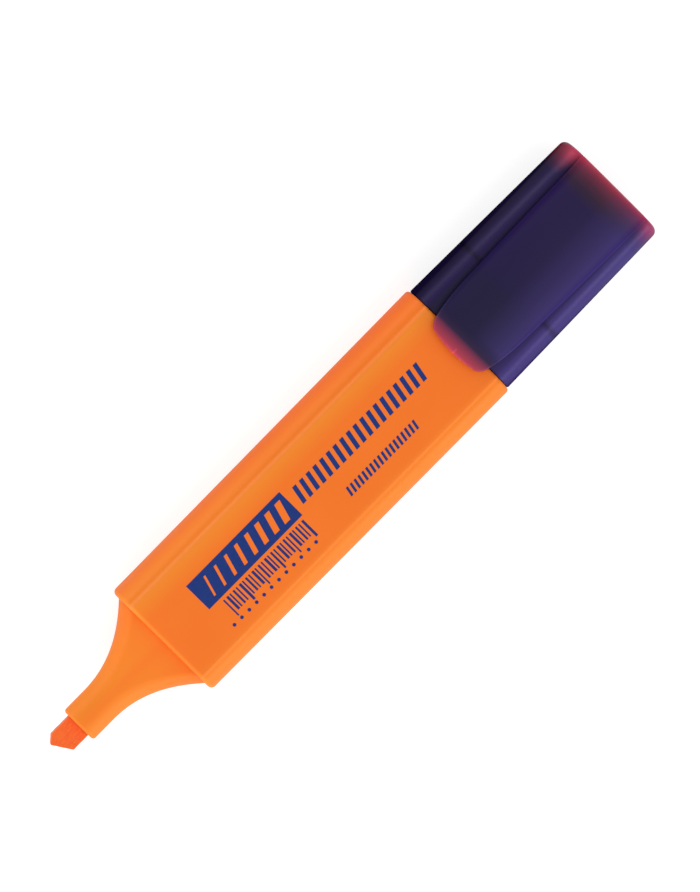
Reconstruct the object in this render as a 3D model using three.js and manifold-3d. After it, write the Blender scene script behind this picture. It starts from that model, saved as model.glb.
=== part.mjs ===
// Flat-bodied chisel-tip highlighter with its cap posted on the rear end. Millimetres.
// +X runs from the nib to the cap's closed end, +Z is up out of the clip face, and the pen
// lies on the barrel's flat underside at z = 0.
import * as THREE from 'three';
import { mergeVertices } from 'three/addons/utils/BufferGeometryUtils.js';
import Module from 'manifold-3d';

// Clearance between neighbouring pieces, and how far a cut or a joined piece runs past the face it meets
const GAP = 0.3;
const OVERRUN = 1;

// Stations along the pen
const PEN_LENGTH = 141.6;
const NIB_EXPOSED = 6.1;
const NOSE_LENGTH = 21.2;
const BARREL_LENGTH = 75.3;
const NIB_TIP_X = -PEN_LENGTH / 2;
const NOSE_FRONT_X = NIB_TIP_X + NIB_EXPOSED;
const SHOULDER_X = NOSE_FRONT_X + NOSE_LENGTH;
const BARREL_REAR_X = SHOULDER_X + BARREL_LENGTH;
const CAP_MOUTH_X = BARREL_REAR_X + GAP;
const CAP_END_X = PEN_LENGTH / 2;

// Barrel: a flat oval tube with a raised panel on each broad face
const BARREL_HALF_WIDTH = { front: 12.45, rear: 12.7 };
const PANEL_RISE = 0.35;
const PANEL_HALF_WIDTH = 8.7;
const AXIS_Z = 7.1;
const BARREL_HALF_HEIGHT = AXIS_Z - PANEL_RISE;
const BARREL_SIDE_DEPTH = 3.5;
const BARREL_WALL = 1.35;
const RIM_RADIUS = 0.7;
const MOUTH_HALF_HEIGHT = BARREL_HALF_HEIGHT - BARREL_WALL;

// Front section: round at the nib, flaring to the barrel's mouth, with a skirt inside it
const NOSE_TIP_RADIUS = 3.7;
const NOSE_FLARE_LENGTH = 16.2;
const NOSE_FLARE_POWER = 2.15;
const NOSE_BASE_HALF_WIDTH = BARREL_HALF_WIDTH.front - BARREL_WALL - GAP;
const NOSE_BASE_HALF_HEIGHT = MOUTH_HALF_HEIGHT - GAP;
const NOSE_BASE_SIDE_DEPTH = 3.3;
const NOSE_TIP_FLAT = 0.2;
const NOSE_RIM_RADIUS = 0.6;
const NOSE_WALL = 1.3;
const NOSE_NECK_SHARE = 0.62;
const SKIRT_LENGTH = 7;
const NIB_CHANNEL_LENGTH = 19;
const SKIRT_END_X = SHOULDER_X + SKIRT_LENGTH;

// Nib: a flat felt bar cut to a chisel
const NIB_WIDTH = 5.1;
const NIB_THICKNESS = 3.2;
const NIB_EDGE_RUN = 2.35;
const NIB_FACET = { along: 1.6, across: 1.3 };
const NIB_TAIL_DEPTH = 8;

// Ink reservoir and its film
const RESERVOIR_LENGTH = 59;
const RESERVOIR_HALF_WIDTH = 9.6;
const RESERVOIR_HALF_HEIGHT = 4.4;
const RESERVOIR_SIDE_DEPTH = 3;
const FILM_THICKNESS = 0.3;
const FILM_SETBACK = 0.5;
const RESERVOIR_FRONT_X = SKIRT_END_X + GAP;
const RESERVOIR_REAR_X = RESERVOIR_FRONT_X + RESERVOIR_LENGTH;

// End plug: a skirt inside the barrel and a stub that the posted cap slides over
const STUB_LENGTH = 12.4;
const PLUG_SKIRT_LENGTH = 8;
const PLUG_WALL = 1.2;
const PLUG_STEP = 0.2;
const STUB_END_X = CAP_MOUTH_X + STUB_LENGTH;
const PLUG_FRONT_X = BARREL_REAR_X - PLUG_SKIRT_LENGTH;

// Cap: a flat oval shell, open at the mouth
const CAP_HALF_WIDTH = { mouth: 12.25, end: 11.7 };
const CAP_HALF_HEIGHT = { mouth: 6.7, end: 6.45 };
const CAP_SIDE_DEPTH = 3.6;
const CAP_WALL = 1.1;
const CAP_END_WALL = 1.5;
const CAP_CORNER_RADIUS = 1.2;
const CAP_MOUTH_RADIUS = 0.2;

// Inner seal: a round sleeve that closes on the nose when the cap is on the front
const SEAL_BORE_RADIUS = NOSE_TIP_RADIUS + 0.2;
const SEAL_WALL = 1;
const SEAL_FRONT_X = 49.4;
const SEAL_FLOOR = 1.2;
const SEAL_REAR_X = CAP_END_X - CAP_END_WALL - GAP;

// Pocket clip: a broad plate that springs from a root block at the cap's closed end
const CLIP_THICKNESS = 1.25;
const CLIP_HALF_WIDTH = { root: 8.15, waist: 7.7, mouth: 6.7 };
const CLIP_TAPER_LENGTH = 12;
const CLIP_TAPER_KNEE = 4;
const CLIP_TONGUE = 2.85;
const CLIP_CORNER = { behindTip: 0.45, inFromEdge: 2.3 };
const CLIP_ROOT_LENGTH = 2.4;
const CLIP_LIFT = 0.35;
const CLIP_END_X = CAP_END_X - CLIP_ROOT_LENGTH - GAP;
const CLIP_TIP_X = CAP_MOUTH_X - CLIP_TONGUE;
const CLIP_UNDERSIDE_Z = 2 * AXIS_Z + CLIP_LIFT;
const CLIP_TOP_Z = CLIP_UNDERSIDE_Z + CLIP_THICKNESS;

const ARC_STEPS = 10;
const RIM_STEPS = 3;
const FLARE_STEPS = 14;
const ROUND_STEPS = 40;

const wasm = await Module();
wasm.setup();

// ---- geometry helpers ----

function lerp(from, to, share) {
  return from + (to - from) * share;
}

function toManifold(geometry) {
  const bare = geometry.clone();
  bare.deleteAttribute('normal');
  bare.deleteAttribute('uv');
  const merged = mergeVertices(bare, 1e-4);
  return new wasm.Manifold(new wasm.Mesh({
    numProp: 3,
    vertProperties: new Float32Array(merged.attributes.position.array),
    triVerts: new Uint32Array(merged.index.array),
  }));
}

function toGeometry(manifold) {
  const mesh = manifold.getMesh();
  const geometry = new THREE.BufferGeometry();
  geometry.setAttribute('position', new THREE.BufferAttribute(mesh.vertProperties, 3));
  geometry.setIndex(new THREE.BufferAttribute(mesh.triVerts, 1));
  geometry.computeVertexNormals();
  return geometry;
}

// The base geometry with the joined ones added and then the cut ones taken away.
function combine(base, joined, cuts) {
  let solid = toManifold(base);
  for (const piece of joined) {
    solid = solid.add(toManifold(piece));
  }
  for (const cut of cuts) {
    solid = solid.subtract(toManifold(cut));
  }
  return toGeometry(solid);
}

// Section across the pen: flat top and bottom, and an elliptical side of the given depth.
function flatOval(halfWidth, halfHeight, sideDepth) {
  const flat = halfWidth - sideDepth;
  const points = [];
  for (const side of [1, -1]) {
    for (let step = 0; step <= ARC_STEPS; step++) {
      const angle = Math.PI * (step / ARC_STEPS - 0.5);
      const across = side * (flat + sideDepth * Math.cos(angle));
      points.push(new THREE.Vector2(across, side * halfHeight * Math.sin(angle)));
    }
  }
  return points;
}

// Closed skin through rings of equally many points: { x, points } with points in (y, z - AXIS_Z).
function loft(rings) {
  const count = rings[0].points.length;
  const circle = new THREE.Shape();
  for (let i = 0; i < count; i++) {
    const angle = (2 * Math.PI * i) / count;
    const draw = i === 0 ? 'moveTo' : 'lineTo';
    circle[draw](Math.cos(angle), Math.sin(angle));
  }
  const spans = rings.length - 1;
  const geometry = new THREE.ExtrudeGeometry(circle, { steps: spans, depth: spans, bevelEnabled: false });
  const position = geometry.attributes.position;
  for (let i = 0; i < position.count; i++) {
    const ring = rings[Math.round(position.getZ(i))];
    const turn = Math.atan2(position.getY(i), position.getX(i)) / (2 * Math.PI);
    const point = ring.points[(Math.round(turn * count) + count) % count];
    position.setXYZ(i, ring.x, point.x, AXIS_Z + point.y);
  }
  return geometry;
}

// How far a rounded rim of the given radius has drawn the section in, at each step around it.
function rimSteps(radius) {
  if (radius === 0) {
    return [{ along: 0, inset: 0 }];
  }
  const rim = [];
  for (let step = 0; step <= RIM_STEPS; step++) {
    const angle = (Math.PI / 2) * (step / RIM_STEPS);
    rim.push({ along: radius * (1 - Math.cos(angle)), inset: radius * (1 - Math.sin(angle)) });
  }
  return rim;
}

// Straight flat-oval bar from one station to another, tapering evenly, with rounded rims if asked.
function ovalBar(from, to, rims = { from: 0, to: 0 }) {
  const rings = [];
  const sectionAt = (x, inset) => {
    const share = (x - from.x) / (to.x - from.x);
    const halfWidth = lerp(from.halfWidth, to.halfWidth, share) - inset;
    const halfHeight = lerp(from.halfHeight, to.halfHeight, share) - inset;
    return { x, points: flatOval(halfWidth, halfHeight, from.sideDepth - inset) };
  };
  for (const { along, inset } of rimSteps(rims.from)) {
    rings.push(sectionAt(from.x + along, inset));
  }
  for (const { along, inset } of rimSteps(rims.to).reverse()) {
    rings.push(sectionAt(to.x - along, inset));
  }
  return loft(rings);
}

// Plate of the given outline in plan, (x, y), between two heights.
function plate(outline, bottom, top) {
  const geometry = new THREE.ExtrudeGeometry(outline, {
    depth: top - bottom, bevelEnabled: false, curveSegments: 10,
  });
  geometry.translate(0, 0, bottom);
  return geometry;
}

// Slab of the given side profile, (x, z), centred across the pen.
function slab(profile, width) {
  const geometry = new THREE.ExtrudeGeometry(profile, {
    depth: width, bevelEnabled: false, curveSegments: 6,
  });
  geometry.rotateX(Math.PI / 2);
  geometry.translate(0, width / 2, 0);
  return geometry;
}

// Slot for the nib, with clearance all round, from one station to another.
function nibSlot(fromX, toX) {
  const geometry = new THREE.BoxGeometry(toX - fromX, NIB_WIDTH + 2 * GAP, NIB_THICKNESS + 2 * GAP);
  geometry.translate((fromX + toX) / 2, 0, AXIS_Z);
  return geometry;
}

// ---- barrel ----

function barrelHalfWidthAt(x) {
  const share = (x - SHOULDER_X) / BARREL_LENGTH;
  return lerp(BARREL_HALF_WIDTH.front, BARREL_HALF_WIDTH.rear, share);
}

function barrelPanel(bottom, top) {
  const outline = new THREE.Shape();
  outline.moveTo(SHOULDER_X + RIM_RADIUS, -PANEL_HALF_WIDTH);
  outline.lineTo(BARREL_REAR_X - RIM_RADIUS, -PANEL_HALF_WIDTH);
  outline.lineTo(BARREL_REAR_X - RIM_RADIUS, PANEL_HALF_WIDTH);
  outline.lineTo(SHOULDER_X + RIM_RADIUS, PANEL_HALF_WIDTH);
  outline.closePath();
  return plate(outline, bottom, top);
}

function barrelGeometry() {
  const section = (x) => ({
    x,
    halfWidth: barrelHalfWidthAt(x),
    halfHeight: BARREL_HALF_HEIGHT,
    sideDepth: BARREL_SIDE_DEPTH,
  });
  const bore = (x) => ({
    x,
    halfWidth: barrelHalfWidthAt(x) - BARREL_WALL,
    halfHeight: MOUTH_HALF_HEIGHT,
    sideDepth: BARREL_SIDE_DEPTH - BARREL_WALL / 2,
  });
  const shell = ovalBar(
    section(SHOULDER_X), section(BARREL_REAR_X), { from: RIM_RADIUS, to: RIM_RADIUS });
  const sunk = MOUTH_HALF_HEIGHT + BARREL_WALL / 2;
  const panels = [
    barrelPanel(AXIS_Z + sunk, 2 * AXIS_Z),
    barrelPanel(0, AXIS_Z - sunk),
  ];
  return combine(shell, panels, [ovalBar(bore(SHOULDER_X - OVERRUN), bore(BARREL_REAR_X + OVERRUN))]);
}

// ---- front section and nib ----

// Section of the nose at a distance in front of the shoulder.
function noseSection(distance, inset) {
  const rise = Math.max(0, 1 - distance / NOSE_FLARE_LENGTH) ** NOSE_FLARE_POWER;
  const spread = Math.sin((Math.PI / 2) * Math.sqrt(rise));
  const halfWidth = lerp(NOSE_TIP_RADIUS, NOSE_BASE_HALF_WIDTH, rise);
  const halfHeight = lerp(NOSE_TIP_RADIUS, NOSE_BASE_HALF_HEIGHT, spread);
  const tipSide = NOSE_TIP_RADIUS - NOSE_TIP_FLAT;
  const sideDepth = lerp(tipSide, NOSE_BASE_SIDE_DEPTH, rise);
  return flatOval(halfWidth - inset, halfHeight - inset, sideDepth - inset);
}

function frontSectionGeometry() {
  const rings = rimSteps(NOSE_RIM_RADIUS).map(({ along, inset }) => (
    { x: NOSE_FRONT_X + along, points: noseSection(NOSE_LENGTH - along, inset) }));
  for (let step = 0; step <= FLARE_STEPS; step++) {
    const distance = NOSE_FLARE_LENGTH * (1 - step / FLARE_STEPS);
    rings.push({ x: SHOULDER_X - distance, points: noseSection(distance, 0) });
  }
  rings.push({ x: SKIRT_END_X, points: noseSection(0, 0) });

  const channelEndX = NOSE_FRONT_X + NIB_CHANNEL_LENGTH;
  const bore = {
    halfWidth: NOSE_BASE_HALF_WIDTH - NOSE_WALL,
    halfHeight: NOSE_BASE_HALF_HEIGHT - NOSE_WALL,
    sideDepth: NOSE_BASE_SIDE_DEPTH - NOSE_WALL / 2,
  };
  const neck = { ...bore, x: channelEndX, halfWidth: bore.halfWidth * NOSE_NECK_SHARE };
  const cavity = ovalBar(neck, { ...bore, x: SHOULDER_X + OVERRUN });
  const skirtBore = ovalBar({ ...bore, x: SHOULDER_X }, { ...bore, x: SKIRT_END_X + OVERRUN });
  const channel = nibSlot(NOSE_FRONT_X - OVERRUN, channelEndX + OVERRUN);
  return combine(loft(rings), [], [cavity, skirtBore, channel]);
}

// The nib's plan: a long slanted writing edge, and a short facet at its leading corner.
function nibGeometry() {
  const tailX = RESERVOIR_FRONT_X + NIB_TAIL_DEPTH;
  const half = NIB_WIDTH / 2;
  const outline = new THREE.Shape();
  outline.moveTo(NIB_TIP_X, half - NIB_FACET.across);
  outline.lineTo(NIB_TIP_X + NIB_EDGE_RUN, -half);
  outline.lineTo(tailX, -half);
  outline.lineTo(tailX, half);
  outline.lineTo(NIB_TIP_X + NIB_FACET.along, half);
  outline.closePath();
  return plate(outline, AXIS_Z - NIB_THICKNESS / 2, AXIS_Z + NIB_THICKNESS / 2);
}

// ---- ink reservoir ----

function reservoirSection(x, growth) {
  return {
    x,
    halfWidth: RESERVOIR_HALF_WIDTH + growth,
    halfHeight: RESERVOIR_HALF_HEIGHT + growth,
    sideDepth: RESERVOIR_SIDE_DEPTH + growth,
  };
}

function reservoirGeometry() {
  const core = ovalBar(reservoirSection(RESERVOIR_FRONT_X, 0), reservoirSection(RESERVOIR_REAR_X, 0));
  const pocket = nibSlot(RESERVOIR_FRONT_X - OVERRUN, RESERVOIR_FRONT_X + NIB_TAIL_DEPTH + GAP);
  return combine(core, [], [pocket]);
}

function reservoirFilmGeometry() {
  const frontX = RESERVOIR_FRONT_X + FILM_SETBACK;
  const rearX = RESERVOIR_REAR_X - FILM_SETBACK;
  const growth = GAP + FILM_THICKNESS;
  const outside = ovalBar(reservoirSection(frontX, growth), reservoirSection(rearX, growth));
  const inside = ovalBar(
    reservoirSection(frontX - OVERRUN, GAP), reservoirSection(rearX + OVERRUN, GAP));
  return combine(outside, [], [inside]);
}

// ---- end plug ----

function capShare(x) {
  return (x - CAP_MOUTH_X) / (CAP_END_X - CAP_MOUTH_X);
}

// The cap's outer section at x, made smaller all round by inset.
function capSection(x, inset) {
  return {
    x,
    halfWidth: lerp(CAP_HALF_WIDTH.mouth, CAP_HALF_WIDTH.end, capShare(x)) - inset,
    halfHeight: lerp(CAP_HALF_HEIGHT.mouth, CAP_HALF_HEIGHT.end, capShare(x)) - inset,
    sideDepth: CAP_SIDE_DEPTH - inset / 2,
  };
}

// The plug's skirt inside the barrel, made smaller all round by inset.
function plugSkirtSection(x, inset) {
  return {
    x,
    halfWidth: barrelHalfWidthAt(PLUG_FRONT_X) - BARREL_WALL - GAP - inset,
    halfHeight: MOUTH_HALF_HEIGHT - GAP - inset,
    sideDepth: BARREL_SIDE_DEPTH - BARREL_WALL / 2 - inset / 2,
  };
}

// The plug's stub inside the cap: a step below the skirt, and smaller all round by inset.
function plugStubSection(x, inset) {
  return capSection(x, CAP_WALL + GAP + PLUG_STEP + inset);
}

function endPlugGeometry() {
  const skirt = ovalBar(plugSkirtSection(PLUG_FRONT_X, 0), plugSkirtSection(BARREL_REAR_X - PLUG_STEP, 0));
  const stub = ovalBar(
    plugStubSection(BARREL_REAR_X - OVERRUN, 0), plugStubSection(STUB_END_X, 0),
    { from: 0, to: RIM_RADIUS });
  const skirtBore = ovalBar(
    plugSkirtSection(PLUG_FRONT_X - OVERRUN, PLUG_WALL), plugSkirtSection(BARREL_REAR_X, PLUG_WALL));
  const stubBore = ovalBar(
    plugStubSection(BARREL_REAR_X - PLUG_STEP, PLUG_WALL),
    plugStubSection(STUB_END_X - PLUG_WALL, PLUG_WALL));
  return combine(skirt, [stub], [skirtBore, stubBore]);
}

// ---- cap, inner seal and clip ----

// The block at the closed end that the clip springs from, rounded over at the rear.
function clipRootGeometry() {
  const bottomZ = AXIS_Z + CAP_HALF_HEIGHT.end - CAP_WALL / 2;
  const profile = new THREE.Shape();
  profile.moveTo(CAP_END_X - CLIP_ROOT_LENGTH, bottomZ);
  profile.lineTo(CAP_END_X, bottomZ);
  profile.lineTo(CAP_END_X, CLIP_TOP_Z - CAP_CORNER_RADIUS);
  profile.quadraticCurveTo(CAP_END_X, CLIP_TOP_Z, CAP_END_X - CAP_CORNER_RADIUS, CLIP_TOP_Z);
  profile.lineTo(CAP_END_X - CLIP_ROOT_LENGTH, CLIP_TOP_Z);
  profile.closePath();
  return slab(profile, 2 * CLIP_HALF_WIDTH.root);
}

function capGeometry() {
  const shell = ovalBar(
    capSection(CAP_MOUTH_X, 0), capSection(CAP_END_X, 0),
    { from: CAP_MOUTH_RADIUS, to: CAP_CORNER_RADIUS });
  const hollow = ovalBar(
    capSection(CAP_MOUTH_X - OVERRUN, CAP_WALL), capSection(CAP_END_X - CAP_END_WALL, CAP_WALL));
  return combine(shell, [clipRootGeometry()], [hollow]);
}

// Round cup, open towards the cap's mouth.
function innerSealGeometry() {
  const outer = SEAL_BORE_RADIUS + SEAL_WALL;
  const length = SEAL_REAR_X - SEAL_FRONT_X;
  const profile = [
    new THREE.Vector2(0, length),
    new THREE.Vector2(0, length - SEAL_FLOOR),
    new THREE.Vector2(SEAL_BORE_RADIUS, length - SEAL_FLOOR),
    new THREE.Vector2(SEAL_BORE_RADIUS, 0),
    new THREE.Vector2(outer, 0),
    new THREE.Vector2(outer, length),
    new THREE.Vector2(0, length),
  ];
  const geometry = new THREE.LatheGeometry(profile, ROUND_STEPS);
  geometry.rotateZ(-Math.PI / 2);
  geometry.translate(SEAL_FRONT_X, 0, AXIS_Z);
  return geometry;
}

// The clip's edge: full width at the root, drawing in towards the mouth, and a rounded tongue.
function clipOutline() {
  const { root, waist, mouth } = CLIP_HALF_WIDTH;
  const waistX = CAP_MOUTH_X + CLIP_TAPER_LENGTH;
  const kneeX = CAP_MOUTH_X + CLIP_TAPER_KNEE;
  const cornerX = CLIP_TIP_X + CLIP_CORNER.behindTip;
  const cornerY = mouth - CLIP_CORNER.inFromEdge;
  const half = new THREE.Path();
  half.moveTo(CLIP_END_X, root);
  half.lineTo(waistX, waist);
  half.quadraticCurveTo(kneeX, waist, CAP_MOUTH_X, mouth);
  half.quadraticCurveTo(cornerX, lerp(cornerY, mouth, 0.75), cornerX, cornerY);
  half.quadraticCurveTo(CLIP_TIP_X, cornerY / 2, CLIP_TIP_X, 0);
  const near = half.getPoints(8);
  const far = near.slice(0, -1).reverse().map((point) => new THREE.Vector2(point.x, -point.y));
  return new THREE.Shape([...near, ...far]);
}

function clipGeometry() {
  return plate(clipOutline(), CLIP_UNDERSIDE_Z, CLIP_TOP_Z);
}

// ---- finishes and assembly ----

function plastic(color, roughness) {
  return new THREE.MeshStandardMaterial({ color, roughness, metalness: 0 });
}

const finishes = {
  orange: () => plastic(0xf3762f, 0.35),
  felt: () => plastic(0xf3702d, 0.9),
  fibre: () => plastic(0xf58a4a, 0.95),
  film: () => plastic(0xe8e4dc, 0.3),
  violet: () => plastic(0x2d2646, 0.25),
  darkViolet: () => plastic(0x1a1528, 0.35),
};

const pen = new THREE.Group();
const capGroup = new THREE.Group();
pen.add(capGroup);

function addPiece(group, name, geometry, material) {
  const mesh = new THREE.Mesh(geometry, material);
  mesh.name = name;
  group.add(mesh);
}

addPiece(pen, 'barrel', barrelGeometry(), finishes.orange());
addPiece(pen, 'front_section', frontSectionGeometry(), finishes.orange());
addPiece(pen, 'nib', nibGeometry(), finishes.felt());
addPiece(pen, 'ink_reservoir', reservoirGeometry(), finishes.fibre());
addPiece(pen, 'reservoir_film', reservoirFilmGeometry(), finishes.film());
addPiece(pen, 'end_plug', endPlugGeometry(), finishes.darkViolet());
addPiece(capGroup, 'cap_shell', capGeometry(), finishes.violet());
addPiece(capGroup, 'inner_seal', innerSealGeometry(), finishes.darkViolet());
addPiece(capGroup, 'pocket_clip', clipGeometry(), finishes.violet());

export default pen;
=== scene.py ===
"""Looks of a flat-bodied highlighter whose cap is posted on its rear end.

Sizes are in millimetres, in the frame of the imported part: +X runs from the nib to the cap's closed
end and +Z is up out of the clip's face. Meshes are written in metres.
"""

import logging
import math
from collections.abc import Sequence
from dataclasses import dataclass, field, replace
from enum import Enum

import bmesh
import bpy
from mathutils import Matrix, Vector, noise

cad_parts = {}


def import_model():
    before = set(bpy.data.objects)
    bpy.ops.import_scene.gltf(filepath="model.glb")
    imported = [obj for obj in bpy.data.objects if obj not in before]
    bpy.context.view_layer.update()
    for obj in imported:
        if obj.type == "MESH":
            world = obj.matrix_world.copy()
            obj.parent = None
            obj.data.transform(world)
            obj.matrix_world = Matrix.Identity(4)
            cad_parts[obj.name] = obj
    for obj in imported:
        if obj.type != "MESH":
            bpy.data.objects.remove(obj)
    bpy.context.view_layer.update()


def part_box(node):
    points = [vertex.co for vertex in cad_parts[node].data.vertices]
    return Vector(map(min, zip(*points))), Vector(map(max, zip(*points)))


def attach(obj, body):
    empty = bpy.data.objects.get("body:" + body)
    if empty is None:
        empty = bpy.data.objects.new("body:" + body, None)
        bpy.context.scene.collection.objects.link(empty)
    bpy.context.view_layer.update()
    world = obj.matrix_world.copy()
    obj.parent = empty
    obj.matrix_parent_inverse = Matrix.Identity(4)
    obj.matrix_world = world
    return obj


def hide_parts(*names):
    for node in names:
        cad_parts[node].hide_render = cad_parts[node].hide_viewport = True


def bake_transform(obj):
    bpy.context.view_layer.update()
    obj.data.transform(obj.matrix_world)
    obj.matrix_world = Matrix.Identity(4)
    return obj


MM = 0.001  # metres in a millimetre
MERGE_DISTANCE = 1e-7  # metres, below which two points become one
MIN_SIDE_DEPTH = 0.05  # least width of a rounded side
NOISE_RANGE = (0.3, 0.7)  # where nearly all values of a noise pattern lie
REST = "rest_mm"  # mesh attribute that holds each point's resting place

Plan = list[tuple[float, float]]
Place = tuple[float, float, float]
Ring = list[Place]
Area = tuple[float, float, float, float]
Colour = tuple[float, float, float]
Tints = Sequence[tuple[float, Colour]]

log = logging.getLogger("highlighter")


def mix(start: float, end: float, share: float) -> float:
    """Return the value a share of the way from start to end."""
    return start + (end - start) * share


def smooth(low: float, high: float, value: float) -> float:
    """Return 0 below low, 1 above high and an S-curve between them."""
    share = min(1.0, max(0.0, (value - low) / (high - low)))
    return share * share * (3 - 2 * share)


def linear(red: int, green: int, blue: int) -> Colour:
    """Convert a colour from sRGB steps of 0 to 255 to scene-linear numbers.

    Args:
        red: Red step.
        green: Green step.
        blue: Blue step.

    Returns:
        The colour as three linear numbers from 0 to 1.
    """

    def channel(step: int) -> float:
        """Return one channel's linear value."""
        value = step / 255
        return value / 12.92 if value <= 0.04045 else ((value + 0.055) / 1.055) ** 2.4

    return channel(red), channel(green), channel(blue)


class Body(Enum):
    """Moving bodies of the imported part."""

    PEN = "pen"
    CAP = "cap"
    CLIP = "clip"


class Slot(Enum):
    """Material slots of the record."""

    ORANGE = "orange_plastic"
    FELT = "nib_felt"
    FIBRE = "reservoir_fibre"
    FILM = "clear_film"
    VIOLET = "violet_plastic"
    DARK = "dark_plastic"


@dataclass(frozen=True)
class NodeBox:
    """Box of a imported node, in millimetres.

    Attributes:
        low: Lowest corner.
        high: Highest corner.
    """

    low: Vector
    high: Vector

    @classmethod
    def of(cls, node: str) -> "NodeBox":
        """Read the box of a node of the frame.

        Args:
            node: The node's name.

        Returns:
            Its box in millimetres.
        """
        low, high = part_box(node)
        return cls(low / MM, high / MM)


# ---- meshes ----


@dataclass(frozen=True)
class Panel:
    """Raised flat panel on the two broad faces.

    Attributes:
        rise: Height above the face.
        inner: Distance from the middle where its edge starts to round over.
        outer: Distance from the middle where its foot meets the side.
    """

    rise: float
    inner: float
    outer: float

    def lift(self, across: float) -> float:
        """Return how far the face is raised at a distance across."""
        return self.rise * (1 - smooth(self.inner, self.outer, abs(across)))


@dataclass(frozen=True)
class Oval:
    """Section across the pen: flat top and bottom, and elliptical sides.

    Attributes:
        half_width: Half of the width along Y.
        half_height: Half of the height along Z, without a panel.
        side_depth: Width of each rounded side.
        panel: Raised panel, or None.
        arc_points: Points on each quarter of the sides.
        flat_points: Points on each half of a flat.
        crowding: How closely the flat's points crowd towards the sides, 1 for evenly.
    """

    half_width: float
    half_height: float
    side_depth: float
    panel: Panel | None = None
    arc_points: int = 26
    flat_points: int = 12
    crowding: float = 2.2

    def inset(self, by: float, side_share: float = 1.0) -> "Oval":
        """Return the section made smaller all round.

        Args:
            by: Distance it shrinks by.
            side_share: Share of that distance taken off the side's depth.

        Returns:
            The smaller section.
        """
        return replace(
            self,
            half_width=self.half_width - by,
            half_height=self.half_height - by,
            side_depth=max(self.side_depth - by * side_share, MIN_SIDE_DEPTH),
        )

    def _upper(self) -> Plan:
        """Return the points from the +Y edge over the top, without the -Y edge."""
        flat = self.half_width - self.side_depth
        side = [math.pi / 2 * i / self.arc_points for i in range(self.arc_points)]
        right = [
            (flat + self.side_depth * math.cos(a), self.half_height * math.sin(a)) for a in side
        ]
        shares = [1 - (i / self.flat_points) ** self.crowding for i in range(self.flat_points)]
        top = [(flat * share, self.half_height) for share in shares]
        mirrored = [(-y, z) for y, z in reversed(right[1:] + top)]
        return right + top + [(0.0, self.half_height)] + mirrored

    def outline(self) -> Plan:
        """Return the points (y, z) once round the section."""
        upper = self._upper()
        if self.panel is not None:
            upper = [
                (y, z + self.panel.lift(y) * smooth(0, self.half_height, z)) for y, z in upper]
        return upper + [(-y, -z) for y, z in upper]

    def ring(self, x: float, axis_z: float) -> Ring:
        """Return the section's points at a station along the pen.

        Args:
            x: The station.
            axis_z: Height of the pen's axis.

        Returns:
            Points in millimetres.
        """
        return [(x, y, axis_z + z) for y, z in self.outline()]


def rim(radius: float, steps: int = 7) -> list[tuple[float, float]]:
    """Work out a rounded rim.

    Args:
        radius: Radius of the rounding.
        steps: Steps around it.

    Returns:
        Pairs of (distance from the end, how far the section is drawn in), end first.
    """
    angles = [math.pi / 2 * i / steps for i in range(steps + 1)]
    return [(radius * (1 - math.cos(a)), radius * (1 - math.sin(a))) for a in angles]


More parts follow.
